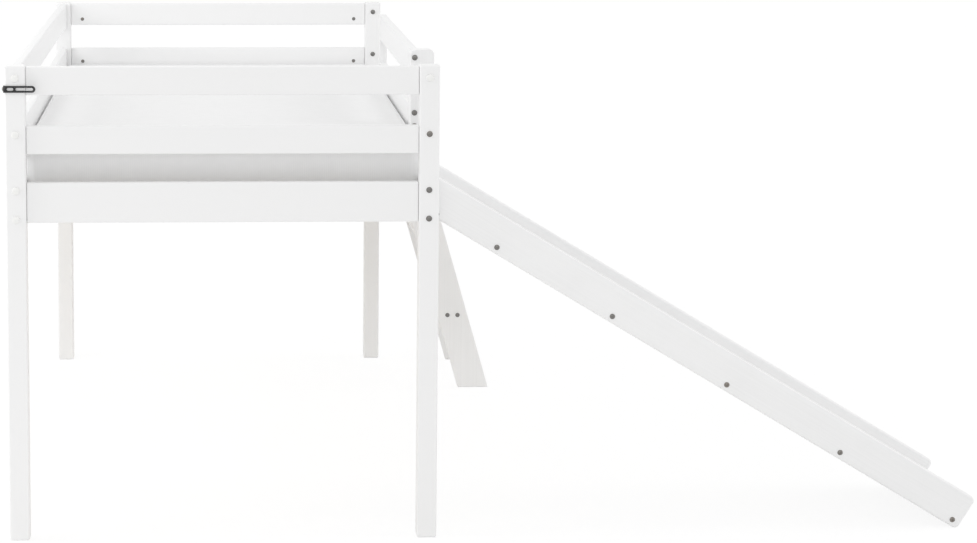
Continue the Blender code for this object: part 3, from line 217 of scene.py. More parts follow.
class BedStageSettings(bpy.types.PropertyGroup):
    """Camera and light."""

    camera_place: spot("Camera place", "Where the camera stands", (-0.6622, -6.9219, 1.6285))
    camera_turn: angle("Turn", "Camera's turn to the right", 1.906)
    camera_tilt: angle("Tilt", "Camera's tilt downwards", 7.212)
    camera_roll: angle("Roll", "Camera's roll", 0.082)
    lens: number("Lens", "Focal length on a 36 mm sensor", 97.66, 10.0, 300.0)
    shift: FloatVectorProperty(name="Shift", description="Lens shift, in image widths", size=2,
                               default=(0.20, -0.12))
    sky: number("Sky", "Strength of the surrounding light", 0.77, most=2.0)
    key: number("Key", "Power of the soft light, in watts", 35.0, most=1000.0)
    key_size: length("Key size", "Width and height of the soft light", 2.0, 10.0)
    key_place: spot("Key place", "Where the soft light hangs", (-3.5, -1.0, 2.5))
    key_aim: spot("Key aim", "The point that the soft light faces", (-0.3, -0.3, 0.6))
    front: number("Front", "Strength of the low light from the front", 0.24, most=5.0)
    front_way: heading("Front way", "Where the front light comes from", (0, -0.97, 0.24))
    right: number("Right", "Strength of the higher light from the right", 0.52, most=5.0)
    right_way: heading("Right way", "Where the right light comes from", (0.82, 0, 0.57))
    floor_glow: number("Floor glow", "How much of the floor's own white shows", 0.85, most=1.0)
    floor_white: number("Floor white", "Strength of the floor's own white", 1.03, most=2.0)
    floor: colour("Floor", "The pale studio floor", "FCFCFC")


def feed(tree, node, feeds):
    """Set a node's inputs: each feed is a value, or another node's output to link."""
    for key, value in feeds.items():
        if isinstance(value, bpy.types.NodeSocket):
            tree.links.new(value, node.inputs[key])
        else:
            node.inputs[key].default_value = value


def put(tree, kind, feeds=None, output=0, **settings):
    """Add a node with its inputs and properties, and return one of its outputs."""
    node = tree.nodes.new(kind)
    for key, value in settings.items():
        setattr(node, key, value)
    feed(tree, node, feeds or {})
    return node.outputs[output] if node.outputs else node


def grain_place(tree):
    return put(tree, "ShaderNodeAttribute", output="Vector", attribute_name="grain")


def object_place(tree):
    return put(tree, "ShaderNodeTexCoord", output="Object")


def stretch(tree, place, scale):
    return put(tree, "ShaderNodeMapping", {"Vector": place, "Scale": scale})


def speckle(tree, place, scale, detail=2.0, roughness=0.5):
    return put(tree, "ShaderNodeTexNoise", {
        "Vector": place, "Scale": scale, "Detail": detail, "Roughness": roughness})


def remap(tree, value, least, most, start=0.0, stop=1.0):
    """Spread the values from start to stop over least to most."""
    return put(tree, "ShaderNodeMapRange", {
        "Value": value, "From Min": start, "From Max": stop, "To Min": least, "To Max": most})


def combine(tree, how, *values):
    return put(tree, "ShaderNodeMath", dict(enumerate(values)), operation=how)


def blend(tree, share, first, second):
    """A colour between two settings, the second where the share is 1."""
    return put(tree, "ShaderNodeMix", {0: share, 6: tuple(first), 7: tuple(second)}, output=2,
               data_type="RGBA")


def shade(tree, tint, level):
    return put(tree, "ShaderNodeHueSaturation", {"Color": tint, "Value": level})


def bump(tree, height, strength, metres, under=None):
    feeds = {"Height": height, "Strength": strength, "Distance": metres}
    if under is not None:
        feeds["Normal"] = under
    return put(tree, "ShaderNodeBump", feeds)


def painted_pine(tree, tints):
    """Satin acrylic paint, sprayed on planed pine.

    The eye sees a soft broad gloss, long shallow grain lines under the paint, and a fine spray
    texture. Growth rings in planed pine lie 2 to 6 mm apart, and the spray's peel is about 1.5 mm.
    """
    grain = grain_place(tree)
    lines = speckle(tree, stretch(tree, grain, (3.0, 240.0, 240.0)), 1.0, 3.0, 0.55)
    cloudy = speckle(tree, grain, 6.0)
    thin = remap(tree, combine(tree, "MULTIPLY", lines, cloudy), 0.0, 0.75, 0.18, 0.42)
    peel = bump(tree, speckle(tree, grain, 650.0, 1.0), 0.12, 0.0003)
    return {
        "IOR": 1.49, "Specular IOR Level": 0.45,
        "Base Color": blend(tree, thin, tints.paint, tints.thin_paint),
        "Roughness": remap(tree, cloudy, 0.36, 0.46, 0.3, 0.7),
        "Normal": bump(tree, lines, 0.22, 0.0006, peel),
    }


def bare_pine(tree, tints):
    """Planed pine without a finish: pale early wood, warmer late-wood lines about 5 mm apart."""
    grain = grain_place(tree)
    rings = put(tree, "ShaderNodeTexWave", {
        "Vector": stretch(tree, grain, (0.35, 6.0, 6.0)), "Scale": 4.5, "Distortion": 3.0,
        "Detail": 2.0, "Detail Scale": 1.2}, output="Fac", bands_direction="Y", wave_profile="SAW")
    fibres = speckle(tree, stretch(tree, grain, (12.0, 900.0, 900.0)), 1.0)
    late = combine(tree, "MULTIPLY_ADD", fibres, 0.35, combine(tree, "POWER", rings, 2.2))
    return {
        "IOR": 1.5, "Specular IOR Level": 0.3,
        "Base Color": blend(tree, late, tints.pine, tints.pine_late),
        "Roughness": remap(tree, rings, 0.62, 0.5),
        "Normal": bump(tree, late, 0.25, 0.0004),
    }


def zinc_steel(tree, tints):
    """Cold-headed steel with zinc plating: a blurred metal gleam, cloudy, with fine scuffs.

    Zinc differs from one fastener to the next, from grey to slightly brassy.
    """
    place = object_place(tree)
    clouds = speckle(tree, place, 420.0, 3.0)
    each = put(tree, "ShaderNodeNewGeometry", output="Random Per Island")
    batch = blend(tree, combine(tree, "POWER", each, 3.0), tints.steel, tints.brassy)
    return {
        "Metallic": 0.92,
        "Base Color": shade(tree, batch, remap(tree, clouds, 0.75, 1.2)),
        "Roughness": remap(tree, clouds, 0.24, 0.46),
        "Normal": bump(tree, speckle(tree, place, 2600.0), 0.15, 0.0001),
    }


def black_lacquer(tree, tints):
    """Stamped steel with baked black lacquer: half-matt, slightly pebbled, grey where it rubs."""
    place = object_place(tree)
    rubbed = speckle(tree, place, 160.0, 4.0)
    worn = remap(tree, rubbed, 0.0, 0.35, 0.58, 0.72)
    return {
        "IOR": 1.5, "Specular IOR Level": 0.5,
        "Base Color": blend(tree, worn, tints.black, tints.steel),
        "Roughness": remap(tree, rubbed, 0.34, 0.52),
        "Normal": bump(tree, speckle(tree, place, 1500.0, 1.0), 0.3, 0.0001),
    }


def cap_plastic(tree, tints):
    """Injection-moulded polyethylene: a waxy half-gloss with a faint mould texture."""
    texture = speckle(tree, object_place(tree), 900.0)
    return {
        "IOR": 1.51,
        "Base Color": shade(tree, tuple(tints.plastic), remap(tree, texture, 0.95, 1.0)),
        "Roughness": remap(tree, texture, 0.30, 0.42),
        "Normal": bump(tree, texture, 0.1, 0.0001),
    }


def cotton_cover(tree, tints):
    """Plain-woven cotton ticking: matt, soft sheen at the edges, slight unevenness of the yarn.

    Real yarns lie 0.5 mm apart, too fine to show here, so the weave is drawn 2.5 mm apart.
    """
    place = object_place(tree)
    warp, weft = (put(tree, "ShaderNodeTexWave", {
        "Vector": place, "Scale": 63.0, "Distortion": 0.6, "Detail": 1.0},
        output="Fac", bands_direction=across) for across in "XY")
    weave = combine(tree, "MAXIMUM", warp, weft)
    thread = combine(tree, "MULTIPLY_ADD", weave, 0.3, speckle(tree, place, 38.0, 5.0))
    level = remap(tree, thread, 0.965, 1.0, 0.3, 1.0)
    return {
        "IOR": 1.45, "Specular IOR Level": 0.2, "Sheen Weight": 0.25, "Sheen Roughness": 0.6,
        "Roughness": 0.85,
        "Base Color": shade(tree, tuple(tints.cotton), level),
        "Normal": bump(tree, thread, 0.35, 0.0006),
    }


FINISHES = {PAINTED: painted_pine, PLANED: bare_pine, ZINC: zinc_steel,
            LACQUERED: black_lacquer, MOULDED: cap_plastic, COTTON: cotton_cover}


def new_material(name):
    """An empty material with its tree and its shader."""
    material = bpy.data.materials.new(name)
    material.use_nodes = True
    return material, material.node_tree, material.node_tree.nodes["Principled BSDF"]


def material_for(name):
    """The material of a finish, made when the first piece needs it."""
    material = bpy.data.materials.get(name)
    if material is None:
        material, tree, shader = new_material(name)
        feed(tree, shader, FINISHES[name](tree, bpy.context.scene.bed_finishes))
    return material


def mesh_of(bm, smooth_angle=40.0):
    mesh = bpy.data.meshes.new("shape")
    bmesh.ops.recalc_face_normals(bm, faces=bm.faces)
    bm.to_mesh(mesh)
    bm.free()
    mesh.shade_smooth()
    mesh.set_sharp_from_angle(angle=math.radians(smooth_angle))
    return mesh


def new_object(name, data):
    made = bpy.data.objects.new(name, data)
    bpy.context.scene.collection.objects.link(made)
    return made


def discard(*items):
    for item in items:
        bpy.data.objects.remove(item, do_unlink=True)


def evaluated_mesh(item):
    graph = bpy.context.evaluated_depsgraph_get()
    return bpy.data.meshes.new_from_object(item.evaluated_get(graph))


def settle(item):
    """Turn an object's modifiers into a plain mesh."""
    mesh = evaluated_mesh(item)
    item.modifiers.clear()
    old = item.data
    item.data = mesh
    bpy.data.meshes.remove(old)


def seed_of(name):
    return sum(ord(letter) * (place + 1) for place, letter in enumerate(name)) % 97


def lay_grain(mesh, along, name):
    """Keep each point's place along, across and through the board, for the wood's pattern."""
    seed = GRAIN_SEEDS.get(name, seed_of(name))
    places = np.empty(len(mesh.vertices) * 3, np.float32)
    mesh.vertices.foreach_get("co", places)
    places = places.reshape(-1, 3)[:, [along, (along + 1) % 3, (along + 2) % 3]]
    places = places + np.array([seed * 1.37, seed * 0.71, seed * 0.43], np.float32)
    attribute = mesh.attributes.new("grain", "FLOAT_VECTOR", "POINT")
    attribute.data.foreach_set("vector", places.ravel())


def box_shape(low, high):
    bm = bmesh.new()
    bmesh.ops.create_cube(bm, size=1.0)
    low, high = Vector(low), Vector(high)
    bmesh.ops.scale(bm, vec=high - low, verts=bm.verts)
    bmesh.ops.translate(bm, vec=(high + low) / 2, verts=bm.verts)
    return bm


def swept_shape(outline, axis, low, high):
    """An outline in the other two axes (X and Y, or X and Z), swept along Z or Y."""
    bm = bmesh.new()
    spots = [(a, b, low) if axis == Z else (a, low, b) for a, b in outline]
    face = bm.faces.new([bm.verts.new(place) for place in spots])
    moved = bmesh.ops.extrude_face_region(bm, geom=[face])["geom"]
    way = Vector()
    way[axis] = high - low
    bmesh.ops.translate(bm, vec=way, verts=[
        part for part in moved if isinstance(part, bmesh.types.BMVert)])
    return bm


def board_mesh(low, high, along, arris, name):
    """A planed board with rounded arrises, its pattern running along one axis."""
    bm = box_shape(low, high)
    bmesh.ops.bevel(bm, geom=bm.edges[:], offset=arris, segments=4, profile=0.5, affect="EDGES")
    mesh = mesh_of(bm)
    lay_grain(mesh, along, name)
    return mesh


def arc(centre, radius, start, end, steps=8):
    angles = [start + (end - start) * step / steps for step in range(steps + 1)]
    return [(centre[0] + radius * math.cos(a), centre[1] + radius * math.sin(a)) for a in angles]


def rounded_top(left, right, top, radius):
    """The top of an outline, from right to left, with both corners rounded."""
    return (arc((right - radius, top - radius), radius, 0, math.pi / 2)
            + arc((left + radius, top - radius), radius, math.pi / 2, math.pi))


def turned_mesh(profile, steps=32):
    """A turned shape from (radius, height) pairs, from the top's middle down to the foot."""
    bm = bmesh.new()
    points = [bm.verts.new((radius, 0, height)) for radius, height in profile]
    edges = [bm.edges.new(pair) for pair in zip(points, points[1:])]
    bmesh.ops.spin(bm, geom=points + edges, cent=(0, 0, 0), axis=(0, 0, 1), steps=steps,
                   angle=2 * math.pi, use_merge=True)
    bmesh.ops.remove_doubles(bm, verts=bm.verts, dist=1e-6)
    return mesh_of(bm)


def facing(point, direction):
    """A matrix that stands at a point with its Z axis along a direction."""
    turned = Vector((0, 0, 1)).rotation_difference(direction)
    return Matrix.Translation(point) @ turned.to_matrix().to_4x4()


def cut(item, tool_mesh, operation="DIFFERENCE"):
    """Cut a mesh out of an object, or keep only what both share."""
    tool = new_object("cutter", tool_mesh)
    boolean = item.modifiers.new("cut", "BOOLEAN")
    boolean.operation = operation
    boolean.solver = "EXACT"
    boolean.object = tool
    settle(item)
    discard(tool)


def bore_mesh(radius, depth, places):
    """Round bores that start a little above each place and go in against its Z axis."""
    bores = bmesh.new()
    for place in places:
        bm = bmesh.new()
        bmesh.ops.create_cone(bm, cap_ends=True, segments=24, radius1=radius, radius2=radius,
                              depth=depth + BORE_START)
        bmesh.ops.translate(bm, vec=(0, 0, (BORE_START - depth) / 2), verts=bm.verts)
        mesh = mesh_of(bm)
        mesh.transform(place)
        bores.from_mesh(mesh)
        bpy.data.meshes.remove(mesh)
    joined = bpy.data.meshes.new("bores")
    bores.to_mesh(joined)
    bores.free()
    return joined


def dress(item, finish, *nodes):
    """Give a piece of the frame its finish and its body, and hide the nodes that it stands for."""
    item.data.materials.clear()
    item.data.materials.append(material_for(finish))
    normals = item.modifiers.new("normals", "WEIGHTED_NORMAL")
    normals.keep_sharp = True
    settle(item)
    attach(item, "frame")
    if nodes:
        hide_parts(*nodes)


def paint_board(node, low, high, along, arris, bores=(), finish=PAINTED):
    """A board that stands for one node, with bores given as (radius, depth, places)."""
    item = new_object(node + "_board", board_mesh(low, high, along, arris, node))
    for bore in bores:
        cut(item, bore_mesh(*bore))
    dress(item, finish, node)


def cut_board(node, outline, near, far, along, arris, place=Matrix()):
    """A painted board cut to an outline in X and Z, from near to far in Y, then moved in place."""
    bm = swept_shape(outline, Y, near, far)
    bmesh.ops.recalc_face_normals(bm, faces=bm.faces)
    rim = [edge for edge in bm.edges if edge.calc_face_angle(0) > math.radians(60)]
    bmesh.ops.bevel(bm, geom=rim, offset=arris, segments=3, profile=0.5, affect="EDGES",
                    clamp_overlap=True)
    mesh = mesh_of(bm)
    lay_grain(mesh, along, node)
    mesh.transform(place)
    dress(new_object(node + "_board", mesh), PAINTED, node)


def box_of(node):
    """The two corners of a node's box, as vectors."""
    return [Vector(corner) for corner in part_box(node)]


def between(node, axis, low, high):
    """A node's box with its two ends along one axis put where the neighbours are."""
    first, last = box_of(node)
    first[axis], last[axis] = low, high
    return first, last


def new_tree(name, inputs):
    """A Geometry Nodes tree with these named inputs, and the outputs of its input node."""
    tree = bpy.data.node_groups.new(name, "GeometryNodeTree")
    for label, kind in inputs.items():
        tree.interface.new_socket(label, in_out="INPUT", socket_type="NodeSocket" + kind)
    tree.interface.new_socket("Geometry", in_out="OUTPUT", socket_type="NodeSocketGeometry")
    return tree, put(tree, "NodeGroupInput").node.outputs


def repeated(tree, points, given, rotation=None):
    """The given shape at each point."""
    shape = put(tree, "GeometryNodeObjectInfo", {"Object": given["Shape"]}, output="Geometry")
    feeds = {"Points": points, "Instance": shape}
    if rotation is not None:
        feeds["Rotation"] = rotation
    return put(tree, "GeometryNodeInstanceOnPoints", feeds)


def realized(tree, geometry):
    return put(tree, "GeometryNodeRealizeInstances", {"Geometry": geometry})


def named_vector(tree, name):
    return put(tree, "GeometryNodeInputNamedAttribute", {"Name": name}, data_type="FLOAT_VECTOR")


def store_vector(tree, geometry, name, value, domain):
    return put(tree, "GeometryNodeStoreNamedAttribute", {
        "Geometry": geometry, "Name": name, "Value": value}, data_type="FLOAT_VECTOR",
        domain=domain)


def hand_over(tree, geometry, given):
    """Give the geometry its material and end the tree with it."""
    finished = put(tree, "GeometryNodeSetMaterial", {
        "Geometry": geometry, "Material": given["Material"]})
    put(tree, "NodeGroupOutput", {"Geometry": finished})
    return tree


def row_tree():
    """A row of boards: one blank repeated at even steps, each with its own stretch of grain."""
    tree, given = new_tree("row_of_boards", {
        "Shape": "Object", "Count": "Int", "First": "Vector", "Step": "Vector", "Seed": "Int",
        "Material": "Material"})
    line = put(tree, "GeometryNodeMeshLine", {
        "Count": given["Count"], "Start Location": given["First"], "Offset": given["Step"]})
    shift = put(tree, "FunctionNodeRandomValue", {"Max": (5.0, 0.3, 0.3), "Seed": given["Seed"]},
                data_type="FLOAT_VECTOR")
    marked = store_vector(tree, repeated(tree, line, given), "shift", shift, "INSTANCE")
    total = put(tree, "ShaderNodeVectorMath", {
        0: named_vector(tree, "grain"), 1: named_vector(tree, "shift")})
    kept = store_vector(tree, realized(tree, marked), "grain", total, "POINT")
    return hand_over(tree, kept, given)


def fastener_tree():
    """One fastener at each point, standing along the point's direction and turned at random."""
    tree, given = new_tree("fasteners_on_points", {
        "Points": "Geometry", "Shape": "Object", "Least Turn": "Float", "Most Turn": "Float",
        "Seed": "Int", "Material": "Material"})
    stand = put(tree, "FunctionNodeAlignRotationToVector", {
        "Vector": named_vector(tree, "facing")}, axis="Z")
    turn = put(tree, "FunctionNodeRandomValue", {
        2: given["Least Turn"], 3: given["Most Turn"], "Seed": given["Seed"]}, output=1,
        data_type="FLOAT")
    driven = put(tree, "FunctionNodeEulerToRotation", {
        0: put(tree, "ShaderNodeCombineXYZ", {"Z": turn})})
    way = put(tree, "FunctionNodeRotateRotation", {"Rotation": stand, "Rotate By": driven},
              rotation_space="LOCAL")
    placed = repeated(tree, given["Points"], given, way)
    return hand_over(tree, realized(tree, placed), given)


def stitch_tree():
    """Stitches along a seam, at even spacing, each lying along the seam."""
    tree, given = new_tree("stitches_on_seam", {
        "Seam": "Geometry", "Shape": "Object", "Spacing": "Float", "Material": "Material"})
    points = put(tree, "GeometryNodeCurveToPoints", {
        "Curve": given["Seam"], "Length": given["Spacing"]}, mode="LENGTH")
    placed = repeated(tree, points, given, points.node.outputs["Rotation"])
    return hand_over(tree, realized(tree, placed), given)


TREES = {"row_of_boards": row_tree, "fasteners_on_points": fastener_tree,
         "stitches_on_seam": stitch_tree}


def grow(item, tree_name, values):
    """Run a Geometry Nodes tree on an object and return the result as a plain mesh."""
    tree = bpy.data.node_groups.get(tree_name) or TREES[tree_name]()
    modifier = item.modifiers.new(tree_name, "NODES")
    modifier.node_group = tree
    for socket in tree.interface.items_tree:
        if socket.in_out == "INPUT" and socket.name in values:
            modifier[socket.identifier] = values[socket.name]
    item.update_tag()
    return evaluated_mesh(item)


def repeat(name, tree_name, points, shape_mesh, values, finish, nodes):
    """Grow many of one shape as one piece of the frame."""
    shape = new_object(name + "_shape", shape_mesh)
    seat = new_object(name + "_seat", points)
    mesh = grow(seat, tree_name, {
        "Shape": shape, "Seed": seed_of(name), "Material": material_for(finish), **values})
    discard(shape, seat)
    dress(new_object(name, mesh), finish, *nodes)


def board_row(name, blank, first, step, finish, nodes):
    """Like boards in an even row, cut from one blank."""
    repeat(name, "row_of_boards", bpy.data.meshes.new(name + "_seat"), blank,
           {"Count": len(nodes), "First": first, "Step": step}, finish, nodes)


def row_from_boxes(name, nodes, low, high, along, arris, finish):
    """A row of level boards: the first one's box is given, and the second's tells the step."""
    middle = (low + high) / 2
    blank = board_mesh(low - middle, high - middle, along, arris, name)
    board_row(name, blank, middle, box_of(nodes[1])[0] - box_of(nodes[0])[0], finish, nodes)


def drive(name, fastener_mesh, places, turns, nodes=(), finish=ZINC):
    """Put one kind of fastener at many places, given as (point, facing direction) pairs."""
    points = bpy.data.meshes.new(name + "_points")
    points.from_pydata([tuple(point) for point, _ in places], [], [])
    attribute = points.attributes.new("facing", "FLOAT_VECTOR", "POINT")
    attribute.data.foreach_set("vector", [value for _, way in places for value in way])
    repeat(name, "fasteners_on_points", points, fastener_mesh,
           {"Least Turn": -turns, "Most Turn": turns}, finish, nodes)


def carved(name, shape, *cutters):
    """A fastener's shape with its recesses cut."""
    item = new_object(name, shape)
    for cutter in cutters:
        cut(item, mesh_of(cutter))
    mesh = item.data.copy()
    discard(item)
    mesh.shade_smooth()
    mesh.set_sharp_from_angle(angle=math.radians(35))
    return mesh


def bolt_head_mesh(sizes, shank):
    """A flanged button head with a hexagon socket, and the stretch of shank under it."""
    crown, flange, top = sizes.bolt_crown, sizes.bolt_flange, sizes.bolt_head
    rim = top * 0.25
    profile = [(0, top), (crown * 0.86, top), (crown, top * 0.96)]
    for share in (0.25, 0.5, 0.75):
        fall = math.cos(share * math.pi / 2)
        profile.append((crown + (flange * 0.82 - crown) * share,
                        rim * 1.3 + (top * 0.96 - rim * 1.3) * fall))
    profile += [(flange * 0.84, rim * 1.25), (flange * 0.97, rim), (flange, rim * 0.6)]
    profile += [(flange, 0), (sizes.bolt_shank, 0), (sizes.bolt_shank, -shank), (0, -shank)]
    socket = bmesh.new()
    radius = sizes.bolt_socket / math.sqrt(3)
    bmesh.ops.create_cone(socket, cap_ends=True, segments=6, radius1=radius * 0.92,
                          radius2=radius, depth=top * 1.2)
    bmesh.ops.translate(socket, vec=(0, 0, top * 0.95), verts=socket.verts)
    return carved("bolt", turned_mesh(profile), socket)


def screw_head_mesh(sizes, shank):
    """A low domed head with a cross recess."""
    radius, height, core = sizes.screw_head, sizes.screw_height, sizes.bolt_shank * 0.8
    profile = [(radius * out, height * up) for out, up in (
        (0, 1), (0.35, 0.97), (0.65, 0.8), (0.88, 0.5), (1, 0.22), (1, 0))]
    profile += [(core, 0), (core, -shank), (0, -shank)]
    half, width = sizes.screw_cross / 2, sizes.screw_cross / 12
    arms = [box_shape((-x, -y, height * 0.35), (x, y, height * 1.5))
            for x, y in ((half, width), (width, half))]
    return carved("screw", turned_mesh(profile, 24), *arms)


def nut_mesh(sizes):
    """The end of a barrel nut, with a rounded rim and a screwdriver slot."""
    profile = [(sizes.nut_radius * out, sizes.nut_radius * up) for out, up in (
        (0, 0), (0.85, 0), (1, -0.15), (1, -1), (0, -1))]
    corner = Vector((2, 0.13, 1)) * sizes.nut_radius
    slot = box_shape((-corner.x, -corner.y, -0.3 * sizes.nut_radius), corner)
    return carved("nut", turned_mesh(profile, 24), slot)


def cap_mesh(sizes):
    """A push-on cap: a thin lip and a shallow dome."""
    radius, top, seat = sizes.cap_radius, sizes.bolt_head + CAP_ROOM, sizes.bolt_head + GAP
    profile = [(radius * share, top - CAP_DOME * share ** 3)
               for share in (0, 0.25, 0.45, 0.65, 0.8, 0.92)]
    profile += [(radius * 0.985, top * 0.62), (radius, top * 0.3), (radius, 0)]
    profile += [(radius * 0.9, 0), (radius * 0.9, seat), (0, seat)]
    return turned_mesh(profile, 40)


def bolt_heights(sizes, node):
    """Heights of a rail's bolts, from the rail's own edges."""
    foot, top = (corner[Z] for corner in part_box(node))
    middle = (foot + top) / 2
    if node.startswith("side_rail"):
        return [top - sizes.side_rail_margin, foot + sizes.side_rail_margin]
    if node in SHORT_GUARDS:
        return [middle - sizes.upright_spacing / 2, middle + sizes.upright_spacing / 2]
    levels = {"upper": top - sizes.upper_guard_drop, "lower": top - sizes.lower_guard_drop,
              "top": foot + sizes.top_rail_rise, "middle": foot + sizes.middle_rail_rise,
              "bottom": middle}
    return [levels[node.split("_")[-1]]]


def supports(node):
    """What a rail stands between, the left or near one first."""
    if node in SHORT_GUARDS:
        return "guard_upright_by_slide", "guard_upright_by_ladder"
    if node in END_RAILS:
        end = node.split("_")[2]
        return "post_%s_left" % end, "post_%s_right" % end
    side = "left" if "left" in node else "right"
    return "post_near_" + side, "post_far_" + side


def rail_plan(sizes, node):
    """A rail's ends between its supports, and the places of its bolts and barrel nuts.

    A place is a point and a direction: for bolts on the supports' outer faces, at the left or
    near support first, and for nuts under the rail's inner face.
    """
    along, across, sink = (X, Y, sizes.cross_sink) if node in END_RAILS else (Y, X, 0)
    first, last = (box_of(support) for support in supports(node))
    low, high = between(node, along, first[1][along] + GAP, last[0][along] - GAP)
    inwards = Vector()
    inwards[across] = 1 if "near" in node or "left" in node else -1
    face = (high if inwards[across] > 0 else low)[across]
    bolts, nuts = [], []
    for height in bolt_heights(sizes, node):
        for sign, outer, end in ((-1, first[0], low), (1, last[1], high)):
            outwards = Vector()
            outwards[along] = sign
            bolt = (low + high) / 2
            bolt[along] = outer[along] + sign * (GAP - sink)
            nut = bolt.copy()
            nut[along] = end[along] - sign * sizes.nut_setback
            nut[across] = face - inwards[across] * sizes.nut_recess
            bolt[Z] = nut[Z] = height
            bolts.append((bolt, outwards))
            nuts.append((nut, inwards))
    return low, high, bolts, nuts


def build_rails(scene, nodes, along):
    """Rails with the recesses of their barrel nuts."""
    sizes = scene.bed_fastenings
    for node in nodes:
        low, high, _, nuts = rail_plan(sizes, node)
        places = [facing(point + way * sizes.nut_recess, way) for point, way in nuts]
        paint_board(node, low, high, along, scene.bed_boards.arris,
                    [(sizes.nut_radius + GAP, sizes.nut_recess + NUT_BED, places)])


def slide_frame(sizes):
    """The slide's own axes: X down the slope, Z out of it, from the side rail's outer face."""
    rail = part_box("side_rail_right")
    origin = (rail[1][X] + GAP, 0, rail[1][Z] - sizes.slide_drop)
    return Matrix.Translation(origin) @ Matrix.Rotation(sizes.slide_angle, 4, "Y")


def slide_length(sizes):
    """Length of the slide boards' lower edge, so that their rounded foot stands on the floor."""
    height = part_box("side_rail_right")[1][Z] - sizes.slide_drop
    radius = sizes.slide_corner
    fall = height - radius + radius * math.cos(sizes.slide_angle)
    return radius + fall / math.sin(sizes.slide_angle)


def batten_step(sizes):
    last = slide_length(sizes) - sizes.last_batten
    return (last - sizes.first_batten) / (sizes.batten_count - 1)


def inner_faces(group):
    """Where the inner faces of the slide's or the ladder's side boards are."""
    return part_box(group + "_side_near")[1][Y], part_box(group + "_side_far")[0][Y]


def build_cleat(group, sizes):
    """The bar between two side boards, against the side rail."""
    near, far = inner_faces(group)
    low, high = between(group + "_top_cleat", Y, near + GAP, far - GAP)
    low[X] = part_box("side_rail_right")[1][X] + GAP
    paint_board(group + "_top_cleat", low, high, Y, sizes.arris / 2)


class BED_OT_posts(bpy.types.Operator):
    """Four square posts with softened edges and counterbores for the end rails' bolts"""

    bl_idname = "bed.posts"
    bl_label = "Posts"

    def execute(self, context):
        sizes = context.scene.bed_fastenings
        for node in ["post_%s_%s" % (end, side) for end in ("near", "far")
                     for side in ("left", "right")]:
            low, high = box_of(node)
            places = []
            for rail in END_RAILS:
                if node in supports(rail):
                    bolt, way = rail_plan(sizes, rail)[2][supports(rail).index(node)]
                    places.append(facing(bolt + way * (sizes.cross_sink - GAP), way))
            bores = [(sizes.bolt_flange + sizes.sink_play, sizes.cross_sink, places)]
            if node == "post_far_right":
                heights = [bolt_heights(sizes, guard)[0] for guard in LEFT_GUARDS]
                places = [facing(((low[X] + high[X]) / 2, high[Y], height), AWAY)
                          for height in heights]
                bores.append((sizes.bolt_shank + GAP, (high[Y] - low[Y]) / 3, places))
            paint_board(node, low, high, Z, context.scene.bed_boards.post_arris, bores)
        return {"FINISHED"}


class BED_OT_end_rails(bpy.types.Operator):
    """Three rails across each end, with the recesses of their barrel nuts"""

    bl_idname = "bed.end_rails"
    bl_label = "End rails"

    def execute(self, context):
        build_rails(context.scene, END_RAILS, X)
        return {"FINISHED"}


class BED_OT_long_rails(bpy.types.Operator):
    """Side rails and guard rails along the bed"""

    bl_idname = "bed.long_rails"
    bl_label = "Side and guard rails"

    def execute(self, context):
        build_rails(context.scene, LONG_RAILS + SHORT_GUARDS, Y)
        return {"FINISHED"}


class BED_OT_uprights(bpy.types.Operator):
    """The two guard uprights: one laps over the side rail, one stands on it"""

    bl_idname = "bed.uprights"
    bl_label = "Guard uprights"

    def execute(self, context):
        sizes = context.scene.bed_boards
        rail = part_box("side_rail_right")
        radius, arris = sizes.upright_corner, sizes.arris * 0.6
        low, high = box_of("guard_upright_by_slide")
        inner, lap, outer = rail[0][X], rail[1][X] + GAP, high[X]
        foot, shoulder, top = rail[0][Z], rail[1][Z] + GAP, high[Z]
        outline = [(lap, foot), (outer - radius, foot)]
        outline += arc((outer - radius, foot + radius), radius, -math.pi / 2, 0)[1:]
        outline += rounded_top(inner, outer, top, radius)
        outline += [(inner, shoulder), (lap, shoulder)]
        cut_board("guard_upright_by_slide", outline, low[Y], high[Y], Z, arris)

        low, high = box_of("guard_upright_by_ladder")
        outline = [(low[Y], shoulder), (high[Y], shoulder)]
        outline += rounded_top(low[Y], high[Y], top, radius)
        cut_board("guard_upright_by_ladder", outline, -high[X], -low[X], Z, arris,
                  Matrix.Rotation(math.pi / 2, 4, "Z"))
        return {"FINISHED"}


class BED_OT_slats(bpy.types.Operator):
    """Bare pine slats in a row, and the ledgers under them"""

    bl_idname = "bed.slats"
    bl_label = "Slats and ledgers"

    def execute(self, context):
        arris = context.scene.bed_boards.arris / 2
        slats = sorted(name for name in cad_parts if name.startswith("slat_"))
        ledgers = [name for name in slats if name.startswith("slat_ledger")]
        for node in ledgers:
            paint_board(node, *box_of(node), Y, arris, finish=PLANED)
        slats = [name for name in slats if name not in ledgers]
        row_from_boxes("slats", slats, *box_of(slats[0]), X, arris, PLANED)
        return {"FINISHED"}


